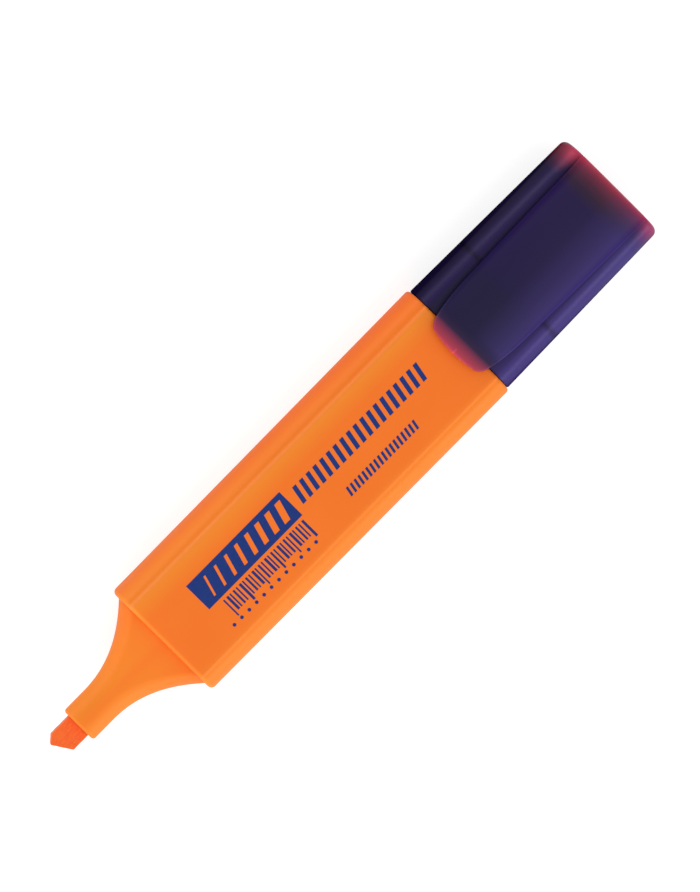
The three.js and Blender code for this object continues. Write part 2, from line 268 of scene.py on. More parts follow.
class Skin:
    """Closed mesh grown from rings of equally many points, or raised from a plan."""

    def __init__(self, name: str) -> None:
        """Start an empty mesh.

        Args:
            name: Name of the piece.
        """
        self.name = name
        self.bm = bmesh.new()

    def _verts(self, ring: Ring) -> list[bmesh.types.BMVert]:
        """Add a ring's points and return them."""
        return [self.bm.verts.new(Vector(p) * MM) for p in ring]

    def _bridge(self, one: list[bmesh.types.BMVert], two: list[bmesh.types.BMVert]) -> None:
        """Join two rings with quads."""
        count = len(one)
        for i in range(count):
            j = (i + 1) % count
            self.bm.faces.new((one[i], one[j], two[j], two[i]))

    def _close(self, ring: list[bmesh.types.BMVert]) -> None:
        """Close a ring that is mirrored about its first point, with a strip of faces."""
        for i in range(len(ring) // 2):
            corners = (ring[i], ring[i + 1], ring[-i - 1], ring[-i])
            self.bm.faces.new(tuple(dict.fromkeys(corners)))

    def loop(self, rings: Sequence[Ring]) -> "Skin":
        """Grow a tube whose last ring joins its first.

        Args:
            rings: Rings in order, along the outside and back along the inside.

        Returns:
            This skin.
        """
        made = [self._verts(r) for r in rings]
        for one, two in zip(made, made[1:] + made[:1]):
            self._bridge(one, two)
        return self

    def capped(self, rings: Sequence[Ring]) -> "Skin":
        """Grow a form whose first and last rings are closed.

        Args:
            rings: Rings in order from one end to the other, each mirrored about its first point.

        Returns:
            This skin.
        """
        made = [self._verts(r) for r in rings]
        for one, two in zip(made, made[1:]):
            self._bridge(one, two)
        self._close(made[0])
        self._close(made[-1])
        return self

    def prism(self, plan: Plan, bottom: float, top: float) -> "Skin":
        """Add an upright solid of a given plan.

        Args:
            plan: Its outline (x, y).
            bottom: Height of its underside.
            top: Height of its upper face.

        Returns:
            This skin.
        """
        low = self._verts([(x, y, bottom) for x, y in plan])
        high = self._verts([(x, y, top) for x, y in plan])
        self._bridge(low, high)
        self.bm.faces.new(low)
        self.bm.faces.new(high)
        return self

    def plate(self, cells: Sequence[Plan], bottom: float, top: float) -> "Skin":
        """Add an upright solid whose plan is made of cells that share whole edges.

        Args:
            cells: Outlines (x, y), all turning the same way.
            bottom: Height of its underside.
            top: Height of its upper face.

        Returns:
            This skin.
        """
        places = dict.fromkeys(place for cell in cells for place in cell)
        low = dict(zip(places, self._verts([(x, y, bottom) for x, y in places])))
        high = dict(zip(places, self._verts([(x, y, top) for x, y in places])))
        sides = set()
        for cell in cells:
            self.bm.faces.new([high[place] for place in cell])
            self.bm.faces.new([low[place] for place in cell])
            for one, two in zip(cell, cell[1:] + cell[:1]):
                sides ^= {frozenset((one, two))}
        for one, two in sorted(tuple(sorted(side)) for side in sides):
            self.bm.faces.new((low[one], low[two], high[two], high[one]))
        return self

    def finish(self, material: bpy.types.Material, sharp_deg: float = 40) -> bpy.types.Object:
        """Turn the skin into a shaded object.

        Args:
            material: Its material.
            sharp_deg: Edges that turn by more than this stay crisp.

        Returns:
            The object, linked to the scene.
        """
        bmesh.ops.remove_doubles(self.bm, verts=self.bm.verts, dist=MERGE_DISTANCE)
        bmesh.ops.recalc_face_normals(self.bm, faces=self.bm.faces)
        mesh = bpy.data.meshes.new(self.name)
        self.bm.to_mesh(mesh)
        self.bm.free()
        rest = mesh.attributes.new(REST, "FLOAT_VECTOR", "POINT")
        for item, vert in zip(rest.data, mesh.vertices):
            item.vector = vert.co / MM
        mesh.polygons.foreach_set("use_smooth", [True] * len(mesh.polygons))
        mesh.set_sharp_from_angle(angle=math.radians(sharp_deg))
        mesh.materials.append(material)
        piece = bpy.data.objects.new(self.name, mesh)
        bpy.context.scene.collection.objects.link(piece)
        return piece


# ---- finishes ----


class Shader:
    """A material's node tree around one Principled shader."""

    def __init__(self, name: str) -> None:
        """Make the material.

        Args:
            name: Name of the material.
        """
        self.material = bpy.data.materials.new(name)
        self.material.use_nodes = True
        self.tree = self.material.node_tree
        self.tree.nodes.clear()
        self.output = self.tree.nodes.new("ShaderNodeOutputMaterial")
        self.surface = self.tree.nodes.new("ShaderNodeBsdfPrincipled")
        self.link(self.surface.outputs["BSDF"], self.output.inputs["Surface"])

    def link(self, source: bpy.types.NodeSocket, target: bpy.types.NodeSocket) -> None:
        """Join two sockets."""
        self.tree.links.new(source, target)

    def set(self, **values: float | Colour) -> None:
        """Set plain values on the Principled shader, by socket name with _ for a space.

        Args:
            **values: Socket names and their values.
        """
        for name, value in values.items():
            socket = self.surface.inputs[name.replace("_", " ")]
            socket.default_value = (*value, 1.0) if isinstance(value, tuple) else value

    def place(self, stretch: Place = (1, 1, 1)) -> bpy.types.NodeSocket:
        """Give the resting place on the pen, in millimetres.

        Args:
            stretch: Factors that the place is multiplied by along X, Y and Z.

        Returns:
            A vector socket.
        """
        where = self.tree.nodes.new("ShaderNodeAttribute")
        where.attribute_name = REST
        scaled = self.tree.nodes.new("ShaderNodeVectorMath")
        scaled.operation = "MULTIPLY"
        scaled.inputs[1].default_value = stretch
        self.link(where.outputs["Vector"], scaled.inputs[0])
        return scaled.outputs["Vector"]

    def noise(
        self, per_mm: float, detail: float = 2, stretch: Place = (1, 1, 1)
    ) -> bpy.types.NodeSocket:
        """Give a noise pattern.

        Args:
            per_mm: Grains per millimetre.
            detail: Octaves of finer noise.
            stretch: Factors on the place along X, Y and Z.

        Returns:
            A value socket, about 0.5 on average.
        """
        grain = self.tree.nodes.new("ShaderNodeTexNoise")
        grain.inputs["Scale"].default_value = per_mm
        grain.inputs["Detail"].default_value = detail
        self.link(self.place(stretch), grain.inputs["Vector"])
        return grain.outputs["Fac"]

    def ramp(self, value: bpy.types.NodeSocket, stops: Tints) -> bpy.types.NodeSocket:
        """Turn a value from 0 to 1 into a colour.

        Args:
            value: The value.
            stops: Places from 0 to 1, with the colour at each.

        Returns:
            A colour socket.
        """
        node = self.tree.nodes.new("ShaderNodeValToRGB")
        elements = node.color_ramp.elements
        while len(elements) < len(stops):
            elements.new(0.5)
        for element, (place, colour) in zip(elements, stops):
            element.position = place
            element.color = (*colour, 1.0)
        self.link(value, node.inputs["Fac"])
        return node.outputs["Color"]

    def span(
        self, value: bpy.types.NodeSocket, low: float, high: float, to: tuple[float, float] = (0, 1)
    ) -> bpy.types.NodeSocket:
        """Map a range of values onto another, held at its ends.

        Args:
            value: The value.
            low: Value that becomes the first of to.
            high: Value that becomes the second of to.
            to: The new range.

        Returns:
            A value socket.
        """
        node = self.tree.nodes.new("ShaderNodeMapRange")
        node.inputs["From Min"].default_value = low
        node.inputs["From Max"].default_value = high
        node.inputs["To Min"].default_value = to[0]
        node.inputs["To Max"].default_value = to[1]
        self.link(value, node.inputs["Value"])
        return node.outputs["Result"]

    def maths(
        self, kind: str, one: bpy.types.NodeSocket | float, two: bpy.types.NodeSocket | float = 0.0
    ) -> bpy.types.NodeSocket:
        """Work out one sum.

        Args:
            kind: Blender's name for the operation.
            one: First value or socket.
            two: Second value or socket.

        Returns:
            A value socket.
        """
        node = self.tree.nodes.new("ShaderNodeMath")
        node.operation = kind
        for socket, value in zip(node.inputs, (one, two)):
            if isinstance(value, float | int):
                socket.default_value = value
            else:
                self.link(value, socket)
        return node.outputs["Value"]

    def dim(self, colour: bpy.types.NodeSocket, share: bpy.types.NodeSocket) -> bpy.types.NodeSocket:
        """Return a colour multiplied by a share."""
        node = self.tree.nodes.new("ShaderNodeVectorMath")
        node.operation = "SCALE"
        self.link(colour, node.inputs[0])
        self.link(share, node.inputs["Scale"])
        return node.outputs["Vector"]

    def axis(self, name: str) -> bpy.types.NodeSocket:
        """Return the resting place along one axis, "X", "Y" or "Z"."""
        node = self.tree.nodes.new("ShaderNodeSeparateXYZ")
        self.link(self.place(), node.inputs["Vector"])
        return node.outputs[name]

    def blend(
        self, share: bpy.types.NodeSocket, one: bpy.types.NodeSocket, two: bpy.types.NodeSocket
    ) -> bpy.types.NodeSocket:
        """Mix two colours.

        Args:
            share: Share of the second colour.
            one: First colour.
            two: Second colour.

        Returns:
            A colour socket.
        """
        node = self.tree.nodes.new("ShaderNodeMix")
        node.data_type = "RGBA"
        colours = [socket for socket in node.inputs if socket.type == "RGBA"]
        self.link(share, node.inputs[0])
        self.link(one, colours[0])
        self.link(two, colours[1])
        return next(socket for socket in node.outputs if socket.type == "RGBA")

    def times(
        self, one: bpy.types.NodeSocket, two: bpy.types.NodeSocket
    ) -> bpy.types.NodeSocket:
        """Multiply two values."""
        return self.maths("MULTIPLY", one, two)

    def off_middle(self, middle: float = 0.0) -> bpy.types.NodeSocket:
        """Give the distance along Y from a middle line."""
        return self.maths("ABSOLUTE", self.maths("SUBTRACT", self.axis("Y"), middle))

    def plain(self, colour: Colour) -> bpy.types.NodeSocket:
        """Give one colour everywhere."""
        node = self.tree.nodes.new("ShaderNodeRGB")
        node.outputs[0].default_value = (*colour, 1.0)
        return node.outputs[0]

    def colour(self, socket: bpy.types.NodeSocket) -> None:
        """Drive the base colour."""
        self.link(socket, self.surface.inputs["Base Color"])

    def roughness(self, pattern: bpy.types.NodeSocket, gloss: tuple[float, float]) -> None:
        """Let a noise pattern vary the roughness.

        Args:
            pattern: The pattern.
            gloss: Lowest and highest roughness.
        """
        self.link(self.span(pattern, *NOISE_RANGE, gloss), self.surface.inputs["Roughness"])

    def bumps(self, layers: Sequence[tuple[bpy.types.NodeSocket, float]]) -> None:
        """Raise and lower the surface.

        Args:
            layers: Height patterns, each with its depth in millimetres.
        """
        previous = None
        for height, depth in layers:
            node = self.tree.nodes.new("ShaderNodeBump")
            node.inputs["Distance"].default_value = depth * MM
            self.link(height, node.inputs["Height"])
            if previous is not None:
                self.link(previous, node.inputs["Normal"])
            previous = node.outputs["Normal"]
        self.link(previous, self.surface.inputs["Normal"])


@dataclass(frozen=True)
class MouldedPlastic:
    """Opaque moulded plastic with a fine satin grain.

    Attributes:
        name: Name of the material.
        light: Colour where the plastic is a touch paler.
        deep: Colour where it is a touch deeper.
        gloss: Lowest and highest roughness.
        grain_mm: Depth of the fine moulding grain.
        wave_mm: Depth of the slow unevenness that shrinkage leaves.
        shine: Strength of the mirror reflection, 0.5 for plain plastic.
    """

    name: str
    light: Colour
    deep: Colour
    gloss: tuple[float, float] = (0.38, 0.5)
    grain_mm: float = 0.004
    wave_mm: float = 0.024
    shine: float = 0.2

    def tint(self, made: Shader) -> bpy.types.NodeSocket:
        """Return the colour, slightly cloudy."""
        cloud = made.span(made.noise(per_mm=0.09, detail=3), *NOISE_RANGE)
        return made.ramp(cloud, [(0, self.deep), (1, self.light)])

    def build(self) -> bpy.types.Material:
        """Return the material."""
        made = Shader(self.name)
        made.colour(self.tint(made))
        made.roughness(made.noise(per_mm=0.35, detail=4, stretch=(0.25, 1, 1)), self.gloss)
        made.bumps([
            (made.noise(per_mm=7.0), self.grain_mm),
            (made.noise(per_mm=0.16, stretch=(0.5, 1, 1)), self.wave_mm),
        ])
        made.set(IOR=1.5, Specular_IOR_Level=self.shine)
        return made.material


@dataclass(frozen=True)
class PaintedLightLine:
    """Painted line along a moulding: a paler one is a painted highlight, a deeper one painted shade.

    Attributes:
        middle: Its place along Y.
        half_width: Distance over which it fades out on each side.
        share: Share of its own colour in the middle.
        colour: Its own colour.
        rear: Whether it shows only towards the rear.
    """

    middle: float
    half_width: float
    share: float
    colour: Colour
    rear: bool = False


@dataclass(frozen=True)
class SheenPaintedPlastic(MouldedPlastic):
    """Fluorescent plastic with painted light: a paler, yellower painted sheen towards its edges.

    Attributes:
        painted_sheen: Colour of the painted sheen at its edges.
        across: Places along Y, with the share of the painted sheen at each.
        along: Stations along X between which that share changes on the far side.
        along_share: Factor on the share at the first and the second of them.
        shaded_far_side: Places along Y over which the far side starts, where less painted sheen is
            laid towards the rear.
        rim_x: Station of the front rim.
        rim_highlight_width: Distances behind that rim where its painted highlight starts to fade and
            ends.
        rim_highlight_share: Share of the painted sheen's colour added there as that painted
            highlight.
        painted_lines: Painted highlight lines and painted shade lines along it.
    """

    painted_sheen: Colour = (1.0, 1.0, 1.0)
    across: Sequence[tuple[float, float]] = ()
    along: tuple[float, float] = (0.0, 1.0)
    along_share: tuple[float, float] = (1.0, 1.0)
    shaded_far_side: tuple[float, float] = (8.4, 9.0)
    rim_x: float = 0.0
    rim_highlight_width: tuple[float, float] = (0.32, 0.8)
    rim_highlight_share: float = 0.0
    painted_lines: Sequence[PaintedLightLine] = ()

    def tint(self, made: Shader) -> bpy.types.NodeSocket:
        """Return the cloudy colour, with painted sheen towards the edges and painted highlight and
        shade lines.
        """
        # painted sheen across the section, with less of it on the far side towards the rear
        low, high = self.across[0][0], self.across[-1][0]
        place = made.span(made.axis("Y"), low, high)
        stops = [((y - low) / (high - low), (share,) * 3) for y, share in self.across]
        fade = made.span(made.axis("X"), *self.along, self.along_share)
        rear = made.maths("SUBTRACT", 1.0, fade)
        less = made.times(rear, made.span(made.axis("Y"), *self.shaded_far_side))
        share = made.times(made.ramp(place, stops), made.maths("SUBTRACT", 1.0, less))
        # painted highlight just behind the front rim
        behind = made.maths("SUBTRACT", made.axis("X"), self.rim_x)
        painted_glow = made.span(behind, *self.rim_highlight_width, (self.rim_highlight_share, 0))
        colour = made.blend(
            made.maths("ADD", share, painted_glow), super().tint(made), made.plain(self.painted_sheen))
        # painted highlight lines and painted shade lines
        for painted_line in self.painted_lines:
            off = made.off_middle(painted_line.middle)
            line = made.span(off, 0, painted_line.half_width, (painted_line.share, 0))
            if painted_line.rear:
                line = made.times(line, rear)
            colour = made.blend(line, colour, made.plain(painted_line.colour))
        return colour


@dataclass(frozen=True)
class ClosedEnd:
    """Closed end of the cap, where its finish paints a glow.

    Attributes:
        x: Its station.
        half_width: Half of its width.
        half_height: Half of its height.
        axis_z: Height of the pen's axis.
        tints: Shares of the way from its middle to its rim, with the painted glow's colour at each.
        squareness: Power that makes those shares follow the flat sides, 2 for an ellipse.
    """

    x: float
    half_width: float
    half_height: float
    axis_z: float
    tints: Tints
    squareness: float = 4.0

    def distance(self, made: Shader) -> bpy.types.NodeSocket:
        """Return the distance in front of the end."""
        return made.maths("SUBTRACT", self.x, made.axis("X"))

    def colour(self, made: Shader) -> bpy.types.NodeSocket:
        """Return the end's painted glow, brighter towards its rim."""
        wide = made.maths("DIVIDE", made.off_middle(), self.half_width)
        above = made.maths("SUBTRACT", made.axis("Z"), self.axis_z)
        high = made.maths("DIVIDE", made.maths("ABSOLUTE", above), self.half_height)
        powers = [made.maths("POWER", share, self.squareness) for share in (wide, high)]
        total = made.maths("ADD", *powers)
        return made.ramp(made.maths("POWER", total, 1 / self.squareness), self.tints)


@dataclass(frozen=True)
class SmokedPlastic:
    """Dark violet plastic, shaded as opaque, with a painted glow and painted light where see-into
    plastic would let light in.

    Attributes:
        name: Name of the material.
        painted_glow: Distances from the closed end, with the painted glow's colour at each.
        end: The closed end.
        lit: Painted light: colour that the violet takes on the side the light comes from.
        side_spread: How much further the painted glow runs along the rounded sides.
        side_on: Distances from the middle over which the rounded sides start.
        lit_from: Places along Y between which the painted lit colour comes in.
        lit_behind: Distances from the closed end over which it reaches its full share.
        lit_least: Part of its share that it has at the closed end.
        end_skin: Distances from the closed end over which the end's painted glow stops.
        gloss: Lowest and highest roughness.
        grain: Grains per millimetre and depth of the fine moulding grain.
        wave: Waves per millimetre and depth of the slow unevenness.
        shine: Strength of the mirror reflection on the faces and at the edges.
        edge_from: Distances from the middle where the reflection dies away.
    """

    name: str
    painted_glow: Tints
    end: ClosedEnd
    lit: Colour
    side_spread: float = 0.7
    side_on: tuple[float, float] = (8.1, 9.2)
    lit_from: tuple[float, float] = (0.0, -9.0)
    lit_behind: tuple[float, float] = (0.5, 6.5)
    lit_least: float = 0.35
    end_skin: tuple[float, float] = (0.06, 0.35)
    gloss: tuple[float, float] = (0.3, 0.4)
    grain: tuple[float, float] = (5.0, 0.0012)
    wave: tuple[float, float] = (0.12, 0.01)
    shine: tuple[float, float] = (0.2, 0.0)
    edge_from: tuple[float, float] = (9.6, 11.6)

    def body_colour(self, made: Shader) -> bpy.types.NodeSocket:
        """Return the colour along the cap, with a painted glow at the closed end and painted light
        on the lit side.
        """
        reach = self.painted_glow[-1][0]
        distance = self.end.distance(made)
        spread = made.span(made.off_middle(), *self.side_on, (1, 1 + self.side_spread))
        share = made.span(made.maths("DIVIDE", distance, spread), 0, reach)
        along = made.ramp(share, [(place / reach, colour) for place, colour in self.painted_glow])
        # painted light on the -Y side, weaker at the closed end
        lit_side = made.span(made.axis("Y"), *self.lit_from)
        lit_along = made.span(distance, *self.lit_behind, (self.lit_least, 1))
        lit = made.blend(made.times(lit_side, lit_along), along, made.plain(self.lit))
        return made.blend(
            made.span(distance, *self.end_skin, (1, 0)), lit, self.end.colour(made))

    def skin(self, made: Shader) -> None:
        """Give the smooth moulded surface."""
        made.roughness(made.noise(per_mm=0.4, detail=4, stretch=(0.25, 1, 1)), self.gloss)
        made.bumps([(made.noise(per_mm), depth) for per_mm, depth in (self.grain, self.wave)])
        shine = made.span(made.off_middle(), *self.edge_from, self.shine)
        made.link(shine, made.surface.inputs["Specular IOR Level"])
        made.set(IOR=1.45)


@dataclass(frozen=True)
class SmokedShell(SmokedPlastic):
    """Smoked plastic of the cap's shell, with painted shadow where the barrel's stub sits inside.

    Attributes:
        stub_x: Station of the stub's end inside the cap.
        tick: Half width of the painted shadow line at the stub's rim.
        tick_depth: Share of the colour that the painted shadow line takes away.
        edge_on: Distances from the middle where the side wall turns edge-on and gets painted shade.
        edge_dim: Share of the colour left there.
        edge_later: How much further out that happens on the -Y side.
        turn_y: Places along Y between which that side ends.
        rise_on: Distances from the middle where the painted light on the side wall starts.
        side_lift: Factor on the colour there, for that painted light.
    """

    stub_x: float = 0.0
    tick: float = 0.9
    tick_depth: float = 0.5
    edge_on: tuple[float, float] = (9.8, 11.6)
    edge_dim: float = 0.3
    edge_later: float = 0.9
    turn_y: tuple[float, float] = (-0.5, 0.5)
    rise_on: tuple[float, float] = (8.0, 9.4)
    side_lift: float = 1.25

    def build(self) -> bpy.types.Material:
        """Return the material."""
        made = Shader(self.name)
        # painted shadow line where the stub ends inside
        off = made.maths("ABSOLUTE", made.maths("SUBTRACT", made.axis("X"), self.stub_x))
        line = made.span(off, 0, self.tick, (1 - self.tick_depth, 1))
        # painted shade where the side wall turns edge-on, and painted light where it rounds over
        across = made.off_middle()
        later = made.span(made.axis("Y"), *self.turn_y, (self.edge_later, 0))
        edge = made.span(made.maths("SUBTRACT", across, later), *self.edge_on, (1, self.edge_dim))
        side = made.span(across, *self.rise_on, (1, self.side_lift))
        made.colour(made.dim(self.body_colour(made), made.times(made.times(line, edge), side)))
        self.skin(made)
        return made.material


@dataclass(frozen=True)
class SmokedClip(SmokedPlastic):
    """Smoked plastic of the clip, with a painted glow of the barrel's colour on its thin tongue.

    Attributes:
        side_spread: How much further the painted glow runs along the rounded sides.
        tongue: Distances from the clip's tip, with the painted glow's colour at each.
        tip_x: Station of the clip's tip.
        fade: Distances from the tongue's last colour over which the clip's own takes over.
        edge_light_on: Distances from the middle over which painted light rises towards the plate's
            edges.
        edge_light_lift: Factor on the colour at the edges, for that painted light.
        gate_end: Distances from the tip over which the pale moulding mark ends.
        gate_side: Distances from the middle over which it ends.
        gate_lift: Factor on the colour there.
        edge_from: Distances from the middle where the reflection dies away.
    """

    side_spread: float = 0.0
    tongue: Tints = ()
    tip_x: float = 0.0
    fade: tuple[float, float] = (-1.5, 1.0)
    edge_light_on: tuple[float, float] = (4.0, 7.9)
    edge_light_lift: float = 1.2
    gate_end: tuple[float, float] = (0.91, 1.3)
    gate_side: tuple[float, float] = (0.14, 0.224)
    gate_lift: float = 1.3
    edge_from: tuple[float, float] = (6.6, 7.6)

    def gate_mark(self, made: Shader, distance: bpy.types.NodeSocket) -> bpy.types.NodeSocket:
        """Return the factor on the colour that shows the moulding mark.

        Args:
            made: The shader.
            distance: Distance from the clip's tip.

        Returns:
            A value socket.
        """
        along = made.span(distance, *self.gate_end, (1, 0))
        across = made.span(made.off_middle(), *self.gate_side, (1, 0))
        return made.span(made.times(along, across), 0, 1, (1, self.gate_lift))

    def build(self) -> bpy.types.Material:
        """Return the material."""
        made = Shader(self.name)
        reach = self.tongue[-1][0]
        distance = made.maths("SUBTRACT", made.axis("X"), self.tip_x)
        # painted glow on the tongue
        near = made.ramp(
            made.span(distance, 0, reach), [(place / reach, tint) for place, tint in self.tongue])
        beyond = made.span(distance, *(reach + step for step in self.fade))
        # painted light towards the edges
        thin = made.span(made.off_middle(), *self.edge_light_on, (1, self.edge_light_lift))
        factor = made.times(thin, self.gate_mark(made, distance))
        made.colour(made.dim(made.blend(beyond, near, self.body_colour(made)), factor))
        self.skin(made)
        return made.material


@dataclass(frozen=True)
class Felt:
    """Pressed fibre, soaked with ink.

    Attributes:
        name: Name of the material.
        wet: Colour of the soaked fibre.
        dry: Colour of fibre tips.
        depth_mm: Height of the fibre relief.
        drying: Values of the strand pattern where the colour starts and ends to dry.
        gloss: Lowest and highest roughness.
    """

    name: str
    wet: Colour
    dry: Colour
    depth_mm: float = 0.05
    drying: tuple[float, float] = (0.35, 0.68)
    gloss: tuple[float, float] = (0.55, 0.85)

    def build(self) -> bpy.types.Material:
        """Return the material."""
        made = Shader(self.name)
        strands = made.noise(per_mm=3.2, detail=5, stretch=(0.35, 1, 1))
        made.colour(made.ramp(made.span(strands, *self.drying), [(0, self.wet), (1, self.dry)]))
        made.roughness(strands, self.gloss)
        fluff = made.noise(per_mm=9.0, detail=3)
        made.bumps([(strands, self.depth_mm), (fluff, self.depth_mm / 2)])
        made.set(IOR=1.4, Sheen_Weight=0.15, Sheen_Roughness=0.5)
        return made.material


@dataclass(frozen=True)
class PrintInk:
    """Thin satin print.

    Attributes:
        name: Name of the material.
        ink: Colour of the print.
        under: Colour that it is printed on.
        shows: Share of that colour where the ink is thin.
        thinning: Values of the ink's pattern where it starts to thin and is thinnest.
        gloss: Lowest and highest roughness.
        grain_mm: Depth of the print's grain.
    """

    name: str
    ink: Colour
    under: Colour = (0.85, 0.16, 0.02)
    shows: float = 0.015
    thinning: tuple[float, float] = (0.35, 0.8)
    gloss: tuple[float, float] = (0.38, 0.5)
    grain_mm: float = 0.002

    def build(self) -> bpy.types.Material:
        """Return the material."""
        made = Shader(self.name)
        thin = tuple(mix(c, base, self.shows) for c, base in zip(self.ink, self.under))
        cover = made.span(made.noise(per_mm=2.5, detail=3), *self.thinning)
        made.colour(made.ramp(cover, [(0, self.ink), (1, thin)]))
        made.roughness(made.noise(per_mm=1.5, detail=3), self.gloss)
        made.bumps([(made.noise(per_mm=8.0), self.grain_mm)])
        made.set(IOR=1.45, Specular_IOR_Level=0.2)
        return made.material


VIOLET = linear(35, 23, 67)
# painted shade: deeper violet where the stub sits inside the cap, down to the mouth
VIOLET_STUB_SHADE = linear(31, 21, 64)
VIOLET_MOUTH_SHADE = linear(29, 22, 58)
# painted light on the side the light comes from
VIOLET_LIT = linear(56, 44, 104)


@dataclass
class Finishes:
    """All the finishes of the pen.

    Attributes:
        shoulder_x: Station of the barrel's front rim.
        stub_x: Station of the stub's end inside the cap.
        clip_tip_x: Station of the clip's tip.
        mouth_x: Station of the cap's mouth.
        cap_end_x: Station of the cap's closed end.
        cap_end_half: Half width and half height of the closed end.
        axis_z: Height of the pen's axis.
        orange: Fluorescent plastic of the barrel.
        nose: Fluorescent plastic of the front section.
        felt: Inked felt of the nib.
        fibre: Soaked fibre of the reservoir.
        film: Film round the reservoir.
        dark: Plastic of the end plug and the inner seal.
        shell: Smoked plastic of the cap's shell.
        clip: Smoked plastic of the clip.
        ink: Print on the barrel.
    """

    shoulder_x: float
    stub_x: float
    clip_tip_x: float
    mouth_x: float
    cap_end_x: float
    cap_end_half: tuple[float, float]
    axis_z: float
    orange: bpy.types.Material = field(init=False)
    nose: bpy.types.Material = field(init=False)
    felt: bpy.types.Material = field(init=False)
    fibre: bpy.types.Material = field(init=False)
    film: bpy.types.Material = field(init=False)
    dark: bpy.types.Material = field(init=False)
    shell: bpy.types.Material = field(init=False)
    clip: bpy.types.Material = field(init=False)
    ink: bpy.types.Material = field(init=False)

    def __post_init__(self) -> None:
        """Make each material once."""
        self.orange = self.barrel_orange()
        self.nose = self.nose_orange()
        self.felt = Felt("inked_felt", linear(242, 92, 22), linear(248, 110, 34)).build()
        self.fibre = Felt(
            "reservoir_fibre", linear(240, 140, 80), linear(250, 180, 120), depth_mm=0.1).build()
        self.film = MouldedPlastic(
            "clear_film", linear(232, 228, 216), linear(222, 218, 206),
            gloss=(0.1, 0.2), shine=0.5).build()
        self.dark = MouldedPlastic("dark_plug", linear(30, 25, 44), linear(24, 20, 36)).build()
        self.shell = self.smoked_shell()
        self.clip = self.smoked_clip()
        self.ink = PrintInk("navy_print", linear(14, 50, 120)).build()

    @staticmethod
    def sheen_painted_orange(name: str) -> SheenPaintedPlastic:
        """Return the fluorescent orange with painted sheen that the barrel and the nose share."""
        return SheenPaintedPlastic(
            name, linear(246, 119, 33), linear(244, 116, 31), painted_sheen=linear(243, 142, 40))

    def barrel_orange(self) -> bpy.types.Material:
        """Return the barrel's orange, with painted sheen on its long edges, a painted highlight on
        its panel's edge and painted shade at its far edge.
        """
        return replace(
            self.sheen_painted_orange("fluorescent_orange"),
            # painted sheen: the lit -Y band, the panel edge's painted highlight and the +Y side's
            # painted highlight
            across=[
                (-12.4, 0.42), (-9.7, 0.5), (-8.9, 0.3), (-8.0, 0.1), (-4.0, 0.05), (5.0, 0.05),
                (7.0, 0.45), (8.2, 0.72), (8.6, 0.62), (9.1, 0.32), (10.1, 0.55), (11.2, 0.42),
                (12.0, 0.05)],
            along=(self.shoulder_x, self.mouth_x),
            along_share=(1.0, 0.15),
            rim_x=self.shoulder_x,
            rim_highlight_share=0.35,
            # a painted highlight line on the panel's edge, and a painted shade line on the far edge
            # towards the rear
            painted_lines=[
                PaintedLightLine(8.95, 0.6, 0.3, linear(255, 166, 92)),
                PaintedLightLine(12.4, 1.4, 0.6, linear(240, 90, 6), rear=True)]).build()

    def nose_orange(self) -> bpy.types.Material:
        """Return the nose's orange, with painted highlights down its flanks that fade to half near
        the barrel.
        """
        # the painted highlights fade to half from here to the shoulder
        calm_from = self.shoulder_x - 12
        return replace(
            self.sheen_painted_orange("fluorescent_nose"),
            # painted highlights down the nose's flanks
            across=[
                (-8.0, 0.3), (-3.0, 0.55), (-1.5, 0.5), (0.0, 0.28), (1.5, 0.62), (3.0, 0.6),
                (5.0, 0.6), (8.0, 0.4)],
            along=(calm_from, self.shoulder_x),
            along_share=(1.0, 0.5),
            shaded_far_side=(-20, -15)).build()

    @property
    def closed_end(self) -> ClosedEnd:
        """Closed end of the cap."""
        # painted glow on the closed end, brightest at its rim
        tints = [
            (0.0, linear(72, 28, 56)), (0.6, linear(92, 32, 60)), (0.88, linear(132, 40, 68)),
            (0.97, linear(180, 56, 82))]
        return ClosedEnd(self.cap_end_x, *self.cap_end_half, self.axis_z, tints)

    @staticmethod
    def along_cap(near_end: Tints) -> Tints:
        """Return the painted glow near the closed end, then the violet, deepened by painted shade
        from the stub to the mouth.
        """
        return [*near_end, (12.0, VIOLET), (26.0, VIOLET_STUB_SHADE), (28.0, VIOLET_MOUTH_SHADE)]

    def smoked_shell(self) -> bpy.types.Material:
        """Return the shell's violet, with a short painted glow."""
        # painted glow along the shell from the closed end
        painted_glow = self.along_cap([
            (0.0, linear(180, 54, 82)), (0.9, linear(150, 48, 74)), (1.7, linear(112, 40, 68)),
            (2.6, linear(66, 31, 64)), (3.5, VIOLET)])
        return SmokedShell(
            "smoked_shell", painted_glow, self.closed_end, VIOLET_LIT, stub_x=self.stub_x).build()

    def smoked_clip(self) -> bpy.types.Material:
        """Return the clip's violet, with a longer painted glow and the tongue's bright painted glow.
        """
        # painted glow along the clip from the closed end
        painted_glow = self.along_cap([
            (0.0, linear(190, 52, 80)), (0.5, linear(168, 50, 75)), (1.0, linear(134, 46, 68)),
            (1.7, linear(104, 41, 62)), (2.8, linear(74, 35, 56)), (4.4, linear(47, 30, 53)),
            (6.6, VIOLET)])
        over = self.mouth_x - self.clip_tip_x
        # painted glow of the tongue in the barrel's colour, deepening to painted shade towards the
        # mouth
        tongue = [
            (0.0, linear(206, 66, 82)), (0.7, linear(172, 58, 78)),
            (over - 0.4, linear(112, 42, 72)), (over + 0.3, linear(46, 30, 62)),
            (over + 2.0, VIOLET_MOUTH_SHADE)]
        return SmokedClip(
            "smoked_clip", painted_glow, self.closed_end, VIOLET_LIT, tongue=tongue,
            tip_x=self.clip_tip_x).build()


# ---- pieces ----


